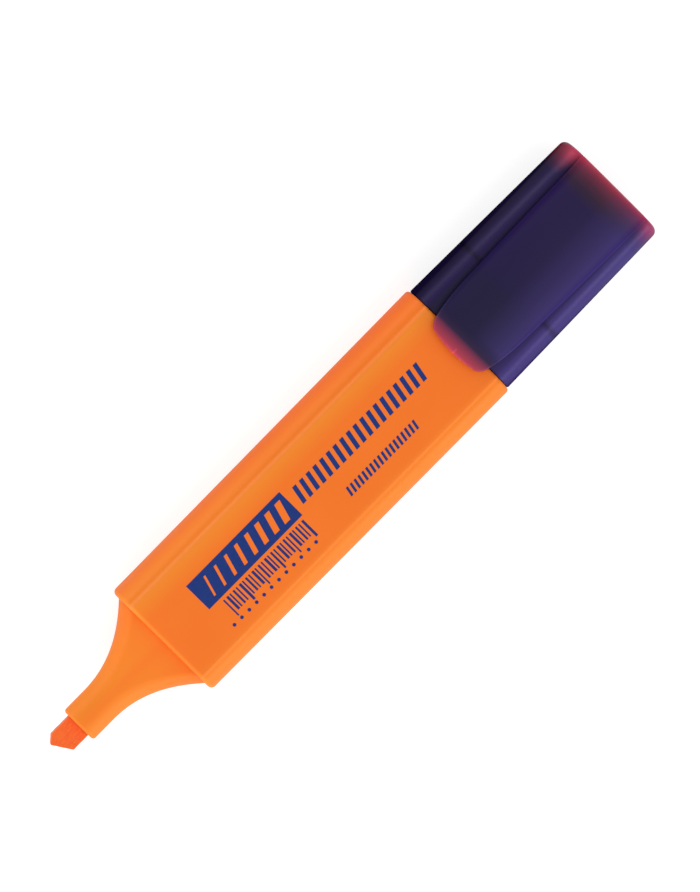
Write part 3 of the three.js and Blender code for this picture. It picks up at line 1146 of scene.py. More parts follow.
def place_piece(
    piece: bpy.types.Object, body: Body, stands_for: Sequence[str] = ()
) -> None:
    """Tie a piece to the frame.

    Args:
        piece: The piece.
        body: The body it moves with.
        stands_for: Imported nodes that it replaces.
    """
    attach(piece, body.value)
    if stands_for:
        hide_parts(*stands_for)
    log.info("%s on %s: %d faces", piece.name, body.value, len(piece.data.polygons))


@dataclass
class Barrel:
    """Flat orange tube with a raised panel on each broad face.

    Attributes:
        box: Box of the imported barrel.
        nose_half: Half width and half height of the nose where it leaves the barrel.
        front_half_width: Half of its width at the nose.
        panel_rise: How proud the panels stand.
        panel_edge: Distances from the middle where a panel's edge starts and ends.
        side_depth: Width of each rounded side.
        wall: Thickness of the tube.
        rim_radius: Rounding of the rear rim.
        front_radius: Rounding of the front rim.
        lip_gap: Gap left round the nose.
        lip_depth: Depth of the front lip.
        lip_side_depth: Width of the lip's rounded sides.
        bore_ends: Distances from the rear and the front rim between which the bore is even.
        rear_reach: How far the rear rim reaches into the gap to the cap.
        stations: Steps along the outside.
    """

    box: NodeBox
    nose_half: tuple[float, float]
    front_half_width: float = 12.45
    panel_rise: float = 0.35
    panel_edge: tuple[float, float] = (8.7, 9.45)
    side_depth: float = 3.5
    wall: float = 1.35
    rim_radius: float = 0.65
    front_radius: float = 0.95
    lip_gap: float = 0.04
    lip_depth: float = 1.2
    lip_side_depth: float = 3.3
    bore_ends: tuple[float, float] = (8.0, 3.0)
    rear_reach: float = 0.12
    stations: int = 24

    @property
    def axis_z(self) -> float:
        """Height of the pen's axis."""
        return self.box.high.z / 2

    @property
    def panel(self) -> Panel:
        """Raised panel."""
        return Panel(self.panel_rise, *self.panel_edge)

    def section(self, x: float) -> Oval:
        """Return the outer section at a station."""
        share = (x - self.box.low.x) / (self.box.high.x - self.box.low.x)
        half_width = mix(self.front_half_width, self.box.high.y, share)
        return Oval(half_width, self.axis_z - self.panel_rise, self.side_depth, self.panel)

    def bore(self, x: float) -> Oval:
        """Return the inner section at a station."""
        return replace(self.section(x).inset(self.wall, 0.5), panel=None)

    @property
    def rear_x(self) -> float:
        """Station of the rear rim, which closes up on the cap."""
        return self.box.high.x + self.rear_reach

    def outer_rings(self) -> list[Ring]:
        """Return the rings along the outside, from the front rim to the rear rim."""
        low, high = self.box.low.x, self.rear_x
        front = [(low + along, inset) for along, inset in rim(self.front_radius)]
        rear = [(high - along, inset) for along, inset in reversed(rim(self.rim_radius))]
        start, end = front[-1][0], rear[0][0]
        middle = [(mix(start, end, i / self.stations), 0.0) for i in range(1, self.stations)]
        return [
            self.section(x).inset(inset).ring(x, self.axis_z)
            for x, inset in front + middle + rear
        ]

    def build(self, finishes: Finishes) -> None:
        """Make the barrel.

        Args:
            finishes: The pen's finishes.
        """
        low, high = self.box.low.x, self.rear_x
        half_width, half_height = self.nose_half
        lip = Oval(half_width + self.lip_gap, half_height + self.lip_gap, self.lip_side_depth)
        behind, ahead = self.bore_ends
        rings = self.outer_rings()
        rings += [self.bore(x).ring(x, self.axis_z) for x in (high, high - behind, low + ahead)]
        rings += [lip.ring(x, self.axis_z) for x in (low + self.lip_depth, low)]
        piece = Skin("barrel_shell").loop(rings).finish(finishes.orange)
        place_piece(piece, Body.PEN, ["barrel"])


@dataclass
class FrontSection:
    """Orange nose: round at the nib, flaring to the barrel's mouth.

    Attributes:
        box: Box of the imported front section.
        shoulder_x: Station of the barrel's front rim.
        axis_z: Height of the pen's axis.
        tip_radius: Radius at the nib.
        tip_flat: Half width of the small flat on the nose's upper and lower side.
        base_half: Half width and half height at the shoulder.
        base_side_depth: Width of the rounded sides there.
        flare_length: Distance in front of the shoulder where the flare starts.
        flare_power: How late the flare opens.
        flare_levelling: How far the height's S-curve runs, 1 for all of it.
        rim_radius: Rounding of the tip's rim.
        wall: Thickness of the skirt.
        neck_length: Length over which the bore narrows to the nib's slot.
        slot_half: Half width and half height of the nib's slot.
        slot_side_depth: Rounding of its sides.
        slot_chamfer: Depth and width of the chamfer at its mouth.
        tip_stations: Steps along the straight tip.
        flare_stations: Steps along the flare.
    """

    box: NodeBox
    shoulder_x: float
    axis_z: float
    tip_radius: float = 3.7
    tip_flat: float = 0.4
    base_half: tuple[float, float] = (10.8, 5.1)
    base_side_depth: float = 3.3
    flare_length: float = 16.2
    flare_power: float = 2.15
    flare_levelling: float = 1.25
    rim_radius: float = 0.6
    wall: float = 1.3
    neck_length: float = 2.2
    slot_half: tuple[float, float] = (2.56, 1.6)
    slot_side_depth: float = 0.45
    slot_chamfer: tuple[float, float] = (0.25, 0.12)
    tip_stations: int = 4
    flare_stations: int = 30

    def section(self, distance: float) -> Oval:
        """Return the outer section at a distance in front of the shoulder."""
        rise = max(0.0, 1 - distance / self.flare_length) ** self.flare_power
        levelling = self.flare_levelling
        spread = smooth(0, levelling, math.sqrt(rise)) / smooth(0, levelling, 1)
        return Oval(
            mix(self.tip_radius, self.base_half[0], rise),
            mix(self.tip_radius, self.base_half[1], spread),
            mix(self.tip_radius - self.tip_flat, self.base_side_depth, rise))

    def outer_rings(self) -> list[Ring]:
        """Return the rings along the outside, from the nib to the skirt's end."""
        length = self.shoulder_x - self.box.low.x
        places = [(length - along, inset) for along, inset in rim(self.rim_radius)]
        start = places[-1][0]
        count = self.tip_stations
        places += [(mix(start, self.flare_length, i / count), 0.0) for i in range(1, count + 1)]
        count = self.flare_stations
        places += [(self.flare_length * (1 - i / count), 0.0) for i in range(1, count + 1)]
        rings = [
            self.section(distance).inset(inset).ring(self.shoulder_x - distance, self.axis_z)
            for distance, inset in places
        ]
        rings.append(self.section(0).ring(self.box.high.x, self.axis_z))
        return rings

    def build(self, finishes: Finishes) -> None:
        """Make the front section.

        Args:
            finishes: The pen's finishes.
        """
        slot = Oval(*self.slot_half, self.slot_side_depth)
        bore = self.section(0).inset(self.wall, 0.5)
        tip_x = self.box.low.x
        deep, wide = self.slot_chamfer
        rings = self.outer_rings()
        rings += [bore.ring(x, self.axis_z) for x in (self.box.high.x, self.shoulder_x)]
        inside = (self.shoulder_x - self.neck_length, tip_x + deep)
        rings += [slot.ring(x, self.axis_z) for x in inside]
        rings.append(slot.inset(-wide).ring(tip_x, self.axis_z))
        piece = Skin("nose_section").loop(rings).finish(finishes.nose)
        place_piece(piece, Body.PEN, ["front_section"])


@dataclass
class Nib:
    """Flat felt bar cut to a chisel.

    Attributes:
        box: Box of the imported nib.
        edge_run: How far the writing edge slants back.
        facet: Length and width of the small leading facet.
        tip_inset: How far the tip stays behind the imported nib's.
        soften: Rounding of the felt's edges.
        wear: How much narrower the felt has worn on the -Y side.
        cuts_along: Distances from the tip where the surface is divided.
        cuts_across: Shares of the width where it is divided.
        lumps_per_mm: Lumps of the felt's surface per millimetre.
        lump: Height of a lump.
        sink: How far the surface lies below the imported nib's, so that no lump passes it.
    """

    box: NodeBox
    edge_run: float = 2.35
    facet: tuple[float, float] = (1.6, 1.3)
    tip_inset: float = 0.05
    soften: float = 0.22
    wear: float = 0.15
    cuts_along: Sequence[float] = (
        0.3, 0.9, 1.5, 2.1, 2.7, 3.3, 3.9, 4.5, 5.1, 5.7, 6.3, 7.0)
    cuts_across: Sequence[float] = (0.15, 0.3, 0.45, 0.6, 0.75, 0.9)
    lumps_per_mm: float = 1.4
    lump: float = 0.04
    sink: float = 0.08

    def plan(self) -> Plan:
        """Return the outline seen from above."""
        low, high = self.box.low, self.box.high
        return [
            (low.x + self.tip_inset, high.y - self.facet[1]),
            (low.x + self.edge_run, low.y + self.wear),
            (high.x, low.y + self.wear),
            (high.x, high.y),
            (low.x + self.facet[0], high.y),
        ]

    @staticmethod
    def divide(bm: bmesh.types.BMesh, place: Place, normal: Place) -> None:
        """Cut every face that crosses a plane.

        Args:
            bm: The mesh.
            place: A point on the plane.
            normal: The plane's direction.
        """
        geometry = [*bm.verts, *bm.edges, *bm.faces]
        where = Vector(place) * MM
        bmesh.ops.bisect_plane(bm, geom=geometry, plane_co=where, plane_no=normal)

    def build(self, finishes: Finishes) -> None:
        """Make the nib, with softened edges and a slightly uneven felt surface.

        Args:
            finishes: The pen's finishes.
        """
        skin = Skin("nib_tip").prism(self.plan(), self.box.low.z, self.box.high.z)
        bm = skin.bm
        bmesh.ops.recalc_face_normals(bm, faces=bm.faces)
        bmesh.ops.bevel(
            bm, geom=list(bm.edges), offset=self.soften * MM, segments=4, profile=0.5,
            affect="EDGES")
        for station in self.cuts_along:
            self.divide(bm, (self.box.low.x + station, 0, 0), (1, 0, 0))
        for share in self.cuts_across:
            self.divide(bm, (0, mix(self.box.low.y, self.box.high.y, share), 0), (0, 1, 0))
        bmesh.ops.triangulate(bm, faces=bm.faces)
        bm.normal_update()
        for vert in bm.verts:
            wave = noise.noise(vert.co / MM * self.lumps_per_mm) * self.lump
            vert.co += vert.normal * (wave - self.sink) * MM
        piece = skin.finish(finishes.felt, 180)
        place_piece(piece, Body.PEN, ["nib"])


@dataclass
class EndPlug:
    """Dark cup that closes the barrel, with a stub for the posted cap.

    Attributes:
        box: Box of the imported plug.
        barrel_rear_x: Station of the barrel's rear rim.
        axis_z: Height of the pen's axis.
        skirt_half: Half width and half height of the skirt in the barrel.
        stub_half: Half width and half height of the stub.
        side_depth: Width of each rounded side.
        wall: Thickness of the cup.
        step_depth: How far in front of the barrel's rear rim the skirt steps down to the stub.
        skirt_radius: Rounding of the skirt's front rim.
        stub_radius: Rounding of the stub's end.
        bead_back: Distance from the stub's end to the front of its snap bead.
        bead_rise: Height of the bead.
        bead_steps: Steps along the bead, which is a millimetre long.
        floor_inset: How far in from the stub's edge its end face is divided.
    """

    box: NodeBox
    barrel_rear_x: float
    axis_z: float
    skirt_half: tuple[float, float] = (11.0, 5.1)
    stub_half: tuple[float, float] = (10.45, 5.02)
    side_depth: float = 2.8
    wall: float = 1.2
    step_depth: float = 0.2
    skirt_radius: float = 0.3
    stub_radius: float = 0.7
    bead_back: float = 2.6
    bead_rise: float = 0.12
    bead_steps: int = 8
    floor_inset: float = 3.5

    def build(self, finishes: Finishes) -> None:
        """Make the plug, with a snap bead round the stub.

        Args:
            finishes: The pen's finishes.
        """
        skirt = Oval(*self.skirt_half, self.side_depth)
        stub = Oval(*self.stub_half, self.side_depth)
        front, rear = self.box.low.x, self.box.high.x
        step = self.barrel_rear_x - self.step_depth
        places = [(stub.inset(self.wall), rear - self.wall), (skirt.inset(self.wall), front)]
        places += [(skirt.inset(i), front + a) for a, i in rim(self.skirt_radius, 3)]
        places += [(skirt, step), (stub, step)]
        for share in (i / self.bead_steps for i in range(self.bead_steps + 1)):
            raised = self.bead_rise * math.sin(math.pi * share)
            places.append((stub.inset(-raised), rear - self.bead_back + share))
        places += [(stub.inset(i), rear - a) for a, i in reversed(rim(self.stub_radius))]
        places.append((stub.inset(self.floor_inset), rear))
        rings = [section.ring(x, self.axis_z) for section, x in places]
        piece = Skin("rear_plug").capped(rings).finish(finishes.dark)
        place_piece(piece, Body.PEN, ["end_plug"])


@dataclass
class Print:
    """Plain navy print on the upper panel: a block, bars and a scale, with no lettering.

    Areas are (lowest X, lowest Y, highest X, highest Y), with X measured from the front rim.

    Attributes:
        front_x: Station of the barrel's front rim.
        top_z: Height of the panel.
        film: Thickness of the print.
        lean: How far the block's slanted cuts lean.
        block: Area of the solid block, which is between two rules.
        rule: Share of the block's height that each of its two rules takes.
        gaps: Number of slanted cuts in the block.
        gap_width: Width of the first and the last cut.
        long_hatch: Area of the long row of bars.
        long_bars: Number of its bars, and the share of each step that is printed.
        short_hatch: Area of the short row of bars.
        short_bars: Number of its bars, and the share of each step that is printed.
        scale: Area of the scale.
        ticks: Steps of the scale.
        long_tick: How much further the long ticks reach.
        long_every: Steps from one long tick to the next.
        tick_widths: Widths that the ticks take in turn.
        dots: First X, Y, last X and radius of the row of dots.
        dot_count: Number of dots.
        dot_sides: Sides of each dot.
    """

    front_x: float
    top_z: float
    film: float = 0.02
    lean: float = 1.1
    block: Area = (9.9, -1.35, 33.5, 4.5)
    rule: float = 0.17
    gaps: int = 8
    gap_width: tuple[float, float] = (0.45, 1.35)
    long_hatch: Area = (35.0, -0.1, 67.9, 3.4)
    long_bars: tuple[int, float] = (19, 0.52)
    short_hatch: Area = (42.0, -5.3, 60.0, -3.5)
    short_bars: tuple[int, float] = (18, 0.5)
    scale: Area = (12.7, -5.1, 32.5, -2.0)
    ticks: int = 25
    long_tick: float = 0.75
    long_every: int = 5
    tick_widths: tuple[float, ...] = (0.3, 0.5, 0.3, 0.4)
    dots: tuple[float, float, float, float] = (11.1, -6.5, 31.8, 0.34)
    dot_count: int = 12
    dot_sides: int = 16

    @property
    def depth(self) -> tuple[float, float]:
        """Heights of the print's underside, which is sunk in the panel, and its face."""
        return self.top_z - self.film / 2, self.top_z + self.film

    def placed(self, plan: Plan) -> Plan:
        """Move an outline from the front rim's place to the frame's."""
        return [(self.front_x + x, y) for x, y in plan]

    @staticmethod
    def slanted(low_x: float, low_y: float, high_x: float, high_y: float, lean: float) -> Plan:
        """Return a leaning bar's outline."""
        return [(low_x, low_y), (high_x, low_y), (high_x + lean, high_y), (low_x + lean, high_y)]

    def block_skin(self) -> Skin:
        """Return the block: a solid field between two rules, cut by slanted gaps that widen."""
        low_x, low_y, high_x, high_y = self.block
        edge = self.rule * (high_y - low_y)
        bottom, top = low_y + edge, high_y - edge
        pitch = (high_x - low_x - self.lean - 2 * edge) / self.gaps
        feet = [low_x]
        for i in range(self.gaps):
            start = low_x + edge + (i + 0.5) * pitch
            feet += [start, start + mix(*self.gap_width, i / (self.gaps - 1))]
        heads = [low_x] + [x + self.lean for x in feet[1:]] + [high_x]
        feet.append(high_x)
        cells = []
        for i in range(len(feet) - 1):
            foot, next_foot, head, next_head = feet[i], feet[i + 1], heads[i], heads[i + 1]
            cells.append([(foot, low_y), (next_foot, low_y), (next_foot, bottom), (foot, bottom)])
            cells.append([(head, top), (next_head, top), (next_head, high_y), (head, high_y)])
            if i % 2 == 0:
                cells.append([(foot, bottom), (next_foot, bottom), (next_head, top), (head, top)])
        return Skin("print_block").plate([self.placed(cell) for cell in cells], *self.depth)

    def hatch_skin(self, name: str, area: Area, count: int, fill: float) -> Skin:
        """Return a row of equal slanted bars.

        Args:
            name: Name of the piece.
            area: Lowest and highest corner of the row.
            count: Number of bars.
            fill: Share of each step that is printed.

        Returns:
            The row's skin.
        """
        skin = Skin(name)
        low_x, low_y, high_x, high_y = area
        lean = self.lean * (high_y - low_y) / (self.block[3] - self.block[1])
        pitch = (high_x - low_x - lean) / count
        for i in range(count):
            start = low_x + i * pitch
            bar = self.slanted(start, low_y, start + fill * pitch, high_y, lean)
            skin.prism(self.placed(bar), *self.depth)
        return skin

    def scale_skin(self) -> Skin:
        """Return the scale: even ticks of changing width, some of them longer."""
        skin = Skin("print_scale")
        low_x, low_y, high_x, high_y = self.scale
        pitch = (high_x - low_x) / self.ticks
        for i in range(self.ticks + 1):
            start = low_x + i * pitch
            foot = low_y - self.long_tick if i % self.long_every == 0 else low_y
            width = self.tick_widths[i % len(self.tick_widths)]
            tick = self.slanted(start, foot, start + width, high_y, 0.0)
            skin.prism(self.placed(tick), *self.depth)
        return skin

    def dots_skin(self) -> Skin:
        """Return the row of dots below the scale."""
        skin = Skin("print_dots")
        low_x, middle, high_x, radius = self.dots
        turns = [2 * math.pi * i / self.dot_sides for i in range(self.dot_sides)]
        for i in range(self.dot_count):
            at = mix(low_x, high_x, i / (self.dot_count - 1))
            dot = [(at + radius * math.cos(a), middle + radius * math.sin(a)) for a in turns]
            skin.prism(self.placed(dot), *self.depth)
        return skin

    def build(self, finishes: Finishes) -> None:
        """Print the panel.

        Args:
            finishes: The pen's finishes.
        """
        skins = (
            self.block_skin(),
            self.hatch_skin("print_long_hatch", self.long_hatch, *self.long_bars),
            self.hatch_skin("print_short_hatch", self.short_hatch, *self.short_bars),
            self.scale_skin(),
            self.dots_skin())
        for skin in skins:
            place_piece(skin.finish(finishes.ink), Body.PEN)


@dataclass
class Cap:
    """Smoked violet shell, open at the mouth.

    Attributes:
        box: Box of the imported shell.
        axis_z: Height of the pen's axis.
        half_width: Half of the width at the mouth and at the closed end.
        half_height: Half of the height there.
        side_depth: Width of each rounded side.
        wall: Thickness of the shell.
        end_wall: Thickness of the closed end.
        corner_radius: Rounding of the closed end.
        mouth_radius: Rounding of the mouth's rim.
        mouth_reach: How far the mouth reaches into the gap to the barrel.
        lead_in: Depth of the mouth's inner rim, and how much further it reaches out.
        end_insets: Distances in from its edge where the end face is divided.
        stations: Steps along the outside.
    """

    box: NodeBox
    axis_z: float
    half_width: tuple[float, float] = (12.25, 11.7)
    half_height: tuple[float, float] = (6.7, 6.45)
    side_depth: float = 3.6
    wall: float = 1.1
    end_wall: float = 1.5
    corner_radius: float = 1.2
    mouth_radius: float = 0.3
    mouth_reach: float = 0.1
    lead_in: float = 0.1
    end_insets: tuple[float, float] = (2.2, 3.4)
    stations: int = 16

    def section(self, x: float) -> Oval:
        """Return the outer section at a station."""
        share = (x - self.box.low.x) / (self.box.high.x - self.box.low.x)
        return Oval(mix(*self.half_width, share), mix(*self.half_height, share), self.side_depth)

    def build(self, finishes: Finishes) -> None:
        """Make the shell.

        Args:
            finishes: The pen's finishes.
        """
        mouth, end = self.box.low.x - self.mouth_reach, self.box.high.x
        floor_x = end - self.end_wall
        inside = (floor_x, mix(floor_x, mouth, 0.5), mouth + 1)
        rings = [self.section(x).inset(self.wall, 0.5).ring(x, self.axis_z) for x in inside]
        lip = self.section(mouth).inset(self.wall - self.lead_in, 0.5)
        rings.append(lip.ring(mouth + self.lead_in, self.axis_z))
        places = [(mouth + a, i) for a, i in rim(self.mouth_radius, 4)]
        start, stop = places[-1][0], end - self.corner_radius
        places += [(mix(start, stop, i / self.stations), 0.0) for i in range(1, self.stations)]
        places += [(end - a, i) for a, i in reversed(rim(self.corner_radius, 10))]
        places += [(end, inset) for inset in self.end_insets]
        rings += [self.section(x).inset(i).ring(x, self.axis_z) for x, i in places]
        piece = Skin("cap_body").capped(rings).finish(finishes.shell)
        place_piece(piece, Body.CAP, ["cap_shell"])


@dataclass
class InnerSeal:
    """Round cup in the cap that closes on the nose.

    Attributes:
        box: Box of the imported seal.
        wall: Thickness of the cup.
        floor: Thickness of its floor.
        lead_in: Depth and width of the slope inside its mouth.
        edge: Size of the chamfer round its floor.
        sides: Sides of each circle.
    """

    box: NodeBox
    wall: float = 1.0
    floor: float = 1.2
    lead_in: float = 0.5
    edge: float = 0.3
    sides: int = 72

    def circle(self, x: float, radius: float) -> Ring:
        """Return a ring of the cup."""
        axis_z = (self.box.low.z + self.box.high.z) / 2
        turns = [2 * math.pi * i / self.sides for i in range(self.sides)]
        return [(x, radius * math.cos(a), axis_z + radius * math.sin(a)) for a in turns]

    def build(self, finishes: Finishes) -> None:
        """Make the cup, with a lead-in at its mouth.

        Args:
            finishes: The pen's finishes.
        """
        outer = self.box.high.y
        bore = outer - self.wall
        low, high = self.box.low.x, self.box.high.x
        inside = high - self.floor
        profile = [
            (inside, bore * 0.5), (inside, bore), (low + self.lead_in, bore),
            (low + 0.1, bore + 0.3), (low, bore + self.lead_in), (low + 0.1, outer - 0.1),
            (low + 0.4, outer), (high - self.edge, outer), (high, outer - self.edge),
            (high, bore * 0.5)]
        rings = [self.circle(x, radius) for x, radius in profile]
        piece = Skin("seal_cup").capped(rings).finish(finishes.dark)
        place_piece(piece, Body.CAP, ["inner_seal"])


@dataclass
class PocketClip:
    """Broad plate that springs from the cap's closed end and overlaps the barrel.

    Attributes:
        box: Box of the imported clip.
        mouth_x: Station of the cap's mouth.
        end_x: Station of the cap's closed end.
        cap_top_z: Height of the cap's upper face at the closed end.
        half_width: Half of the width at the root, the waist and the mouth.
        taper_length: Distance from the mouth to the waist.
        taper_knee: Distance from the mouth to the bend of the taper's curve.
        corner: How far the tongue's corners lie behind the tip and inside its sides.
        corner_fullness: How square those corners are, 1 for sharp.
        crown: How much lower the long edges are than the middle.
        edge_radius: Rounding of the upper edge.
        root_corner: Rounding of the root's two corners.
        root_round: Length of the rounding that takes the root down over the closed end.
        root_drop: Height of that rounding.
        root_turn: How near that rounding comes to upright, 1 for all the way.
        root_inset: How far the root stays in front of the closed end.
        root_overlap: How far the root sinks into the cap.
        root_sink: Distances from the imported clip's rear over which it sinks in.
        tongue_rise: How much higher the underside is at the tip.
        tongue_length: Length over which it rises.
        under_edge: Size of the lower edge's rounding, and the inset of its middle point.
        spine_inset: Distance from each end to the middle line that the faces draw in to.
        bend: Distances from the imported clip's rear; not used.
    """

    box: NodeBox
    mouth_x: float
    end_x: float
    cap_top_z: float
    half_width: tuple[float, float, float] = (8.15, 7.7, 6.7)
    taper_length: float = 12
    taper_knee: float = 4
    corner: tuple[float, float] = (0.45, 2.3)
    corner_fullness: float = 0.75
    crown: float = 0.5
    edge_radius: float = 0.45
    root_corner: float = 0.8
    root_round: float = 2.2
    root_drop: float = 2.0
    root_turn: float = 0.96
    root_inset: float = 0.02
    root_overlap: float = 0.3
    root_sink: tuple[float, float] = (-0.6, 0.9)
    tongue_rise: float = 0.2
    tongue_length: float = 3
    under_edge: tuple[float, float] = (0.25, 0.06)
    spine_inset: float = 4.0
    bend: tuple[float, float] = (0.5, -3.0)

    @staticmethod
    def curve(start: Vector, bend: Vector, end: Vector, steps: int) -> list[Vector]:
        """Return points on a quadratic curve, without its last point.

        Args:
            start: Its first point.
            bend: The point it bends towards.
            end: Its last point.
            steps: Steps along it.

        Returns:
            The points.
        """
        shares = [i / steps for i in range(steps)]
        return [start * (1 - t) ** 2 + bend * 2 * t * (1 - t) + end * t * t for t in shares]

    def half_plan(self) -> list[Vector]:
        """Return the +Y half of the outline, from the closed end to the tip."""
        root, waist, mouth = self.half_width
        tip_x = self.box.low.x
        behind, inward = self.corner
        corner_y = mouth - inward
        corner_x = tip_x + behind
        end = self.end_x - self.root_inset
        points = [Vector((end, root * i / 6)) for i in range(6)]
        points += self.curve(
            Vector((end, root - self.root_corner)), Vector((end, root)),
            Vector((end - self.root_corner, root)), 6)
        start = Vector((end - self.root_corner, root))
        waist_at = Vector((self.mouth_x + self.taper_length, waist))
        points += [start.lerp(waist_at, i / 12) for i in range(12)]
        knee = Vector((self.mouth_x + self.taper_knee, waist))
        points += self.curve(waist_at, knee, Vector((self.mouth_x, mouth)), 14)
        points += self.curve(
            Vector((self.mouth_x, mouth)),
            Vector((corner_x, mix(corner_y, mouth, self.corner_fullness))),
            Vector((corner_x, corner_y)), 14)
        points += self.curve(
            Vector((corner_x, corner_y)), Vector((tip_x, corner_y / 2)), Vector((tip_x, 0)), 10)
        points.append(Vector((tip_x, 0)))
        return points

    def plan(self) -> list[Vector]:
        """Return the whole outline, once round."""
        half = self.half_plan()
        return half + [Vector((p.x, -p.y)) for p in reversed(half[1:-1])]

    def drawn_in(self, plan: list[Vector], inset: float, share: float) -> list[Vector]:
        """Move an outline in from its edge, and towards the middle line.

        Args:
            plan: The outline.
            inset: Distance moved straight in from the edge.
            share: Share of the way from there to the middle line.

        Returns:
            The moved points.
        """
        spine_low = self.box.low.x + self.spine_inset
        spine_high = self.end_x - self.spine_inset
        moved = []
        for point in plan:
            spine = Vector((min(max(point.x, spine_low), spine_high), 0.0))
            inward = spine - point
            start = point + inward.normalized() * min(inset, inward.length)
            moved.append(start.lerp(spine, share))
        return moved

    def top_z(self, point: Vector) -> float:
        """Return the height of the upper face at a point of the plan."""
        across = abs(point.y) / self.half_width[0]
        past = max(0.0, point.x - (self.end_x - self.root_round)) / self.root_round
        drop = self.root_drop * (1 - math.sqrt(1 - past**2 * self.root_turn))
        return self.box.high.z - self.crown * across**2 - drop

    def bottom_z(self, point: Vector) -> float:
        """Return the height of the underside, which reaches into the cap at the root."""
        root = smooth(*(self.box.high.x + step for step in self.root_sink), point.x)
        tongue = 1 - smooth(self.box.low.x, self.box.low.x + self.tongue_length, point.x)
        height = mix(self.box.low.z, self.cap_top_z - self.root_overlap, root)
        return height + self.tongue_rise * tongue

    def build(self, finishes: Finishes) -> None:
        """Make the clip as one plate that bends at its root.

        Args:
            finishes: The pen's finishes.
        """
        plan = self.plan()
        size, middle = self.under_edge
        shares = (0.8, 0.5, 0.25, 0.0)
        under = [(size, share, self.bottom_z, 0.0) for share in shares]
        under += [(middle, 0.0, self.bottom_z, middle), (0.0, 0.0, self.bottom_z, size)]
        edge = [(inset, 0.0, self.top_z, drop) for inset, drop in self.edge_steps()]
        shares = (0.1, 0.25, 0.45, 0.65, 0.85)
        face = [(self.edge_radius, share, self.top_z, 0.0) for share in shares]
        rings = []
        for inset, share, height, lift in under + edge + face:
            moved = self.drawn_in(plan, inset, share)
            rings.append([(p.x, p.y, height(p) + lift) for p in moved])
        piece = Skin("clip_plate").capped(rings).finish(finishes.clip)
        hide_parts("pocket_clip")
        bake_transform(piece)
        log.info("%s bends from cap to clip: %d faces", piece.name, len(piece.data.polygons))

    def edge_steps(self) -> list[tuple[float, float]]:
        """Return the upper edge's rounding as (distance in, height above the face, 0 or less)."""
        radius = self.edge_radius
        angles = [math.pi / 2 * i / 6 for i in range(7)]
        return [(radius * (1 - math.cos(a)), radius * (math.sin(a) - 1)) for a in angles]


@dataclass
class InkStore:
    """Fibre reservoir in its clear film, hidden in the barrel.

    Attributes:
        core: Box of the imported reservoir.
        film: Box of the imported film.
        side_depth: Width of the core's rounded sides.
        rim_radius: Rounding of its rims.
        film_thickness: Thickness of the film.
        pocket_half: Half width and half height of the pocket that takes the nib's tail.
        pocket_side_depth: Rounding of its sides.
        pocket_depth: Depth of that pocket.
    """

    core: NodeBox
    film: NodeBox
    side_depth: float = 3.0
    rim_radius: float = 0.4
    film_thickness: float = 0.3
    pocket_half: tuple[float, float] = (2.85, 1.9)
    pocket_side_depth: float = 0.3
    pocket_depth: float = 8.3

    @staticmethod
    def section(box: NodeBox, side_depth: float) -> Oval:
        """Return the oval that fills a box's width and height."""
        return Oval(box.high.y, (box.high.z - box.low.z) / 2, side_depth)

    def core_skin(self) -> Skin:
        """Return the fibre core, rounded at its rims, with the nib's pocket in front."""
        axis_z = (self.core.low.z + self.core.high.z) / 2
        low, high = self.core.low.x, self.core.high.x
        outside = self.section(self.core, self.side_depth)
        pocket = Oval(*self.pocket_half, self.pocket_side_depth)
        rings = [pocket.ring(x, axis_z) for x in (low + self.pocket_depth, low)]
        steps = rim(self.rim_radius, 4)
        rings += [outside.inset(i).ring(low + a, axis_z) for a, i in steps]
        rings += [outside.inset(i).ring(high - a, axis_z) for a, i in reversed(steps)]
        return Skin("reservoir_core").capped(rings)

    def film_skin(self) -> Skin:
        """Return the film, a thin tube round the core."""
        axis_z = (self.film.low.z + self.film.high.z) / 2
        low, high = self.film.low.x, self.film.high.x
        outside = self.section(self.film, self.side_depth + self.film_thickness)
        inside = outside.inset(self.film_thickness)
        rings = [outside.ring(x, axis_z) for x in (low, high)]
        rings += [inside.ring(x, axis_z) for x in (high, low)]
        return Skin("reservoir_wrap").loop(rings)

    def build(self, finishes: Finishes) -> None:
        """Make the core and its film.

        Args:
            finishes: The pen's finishes.
        """
        core = self.core_skin().finish(finishes.fibre)
        place_piece(core, Body.PEN, ["ink_reservoir"])
        film = self.film_skin().finish(finishes.film)
        place_piece(film, Body.PEN, ["reservoir_film"])


# ---- studio ----


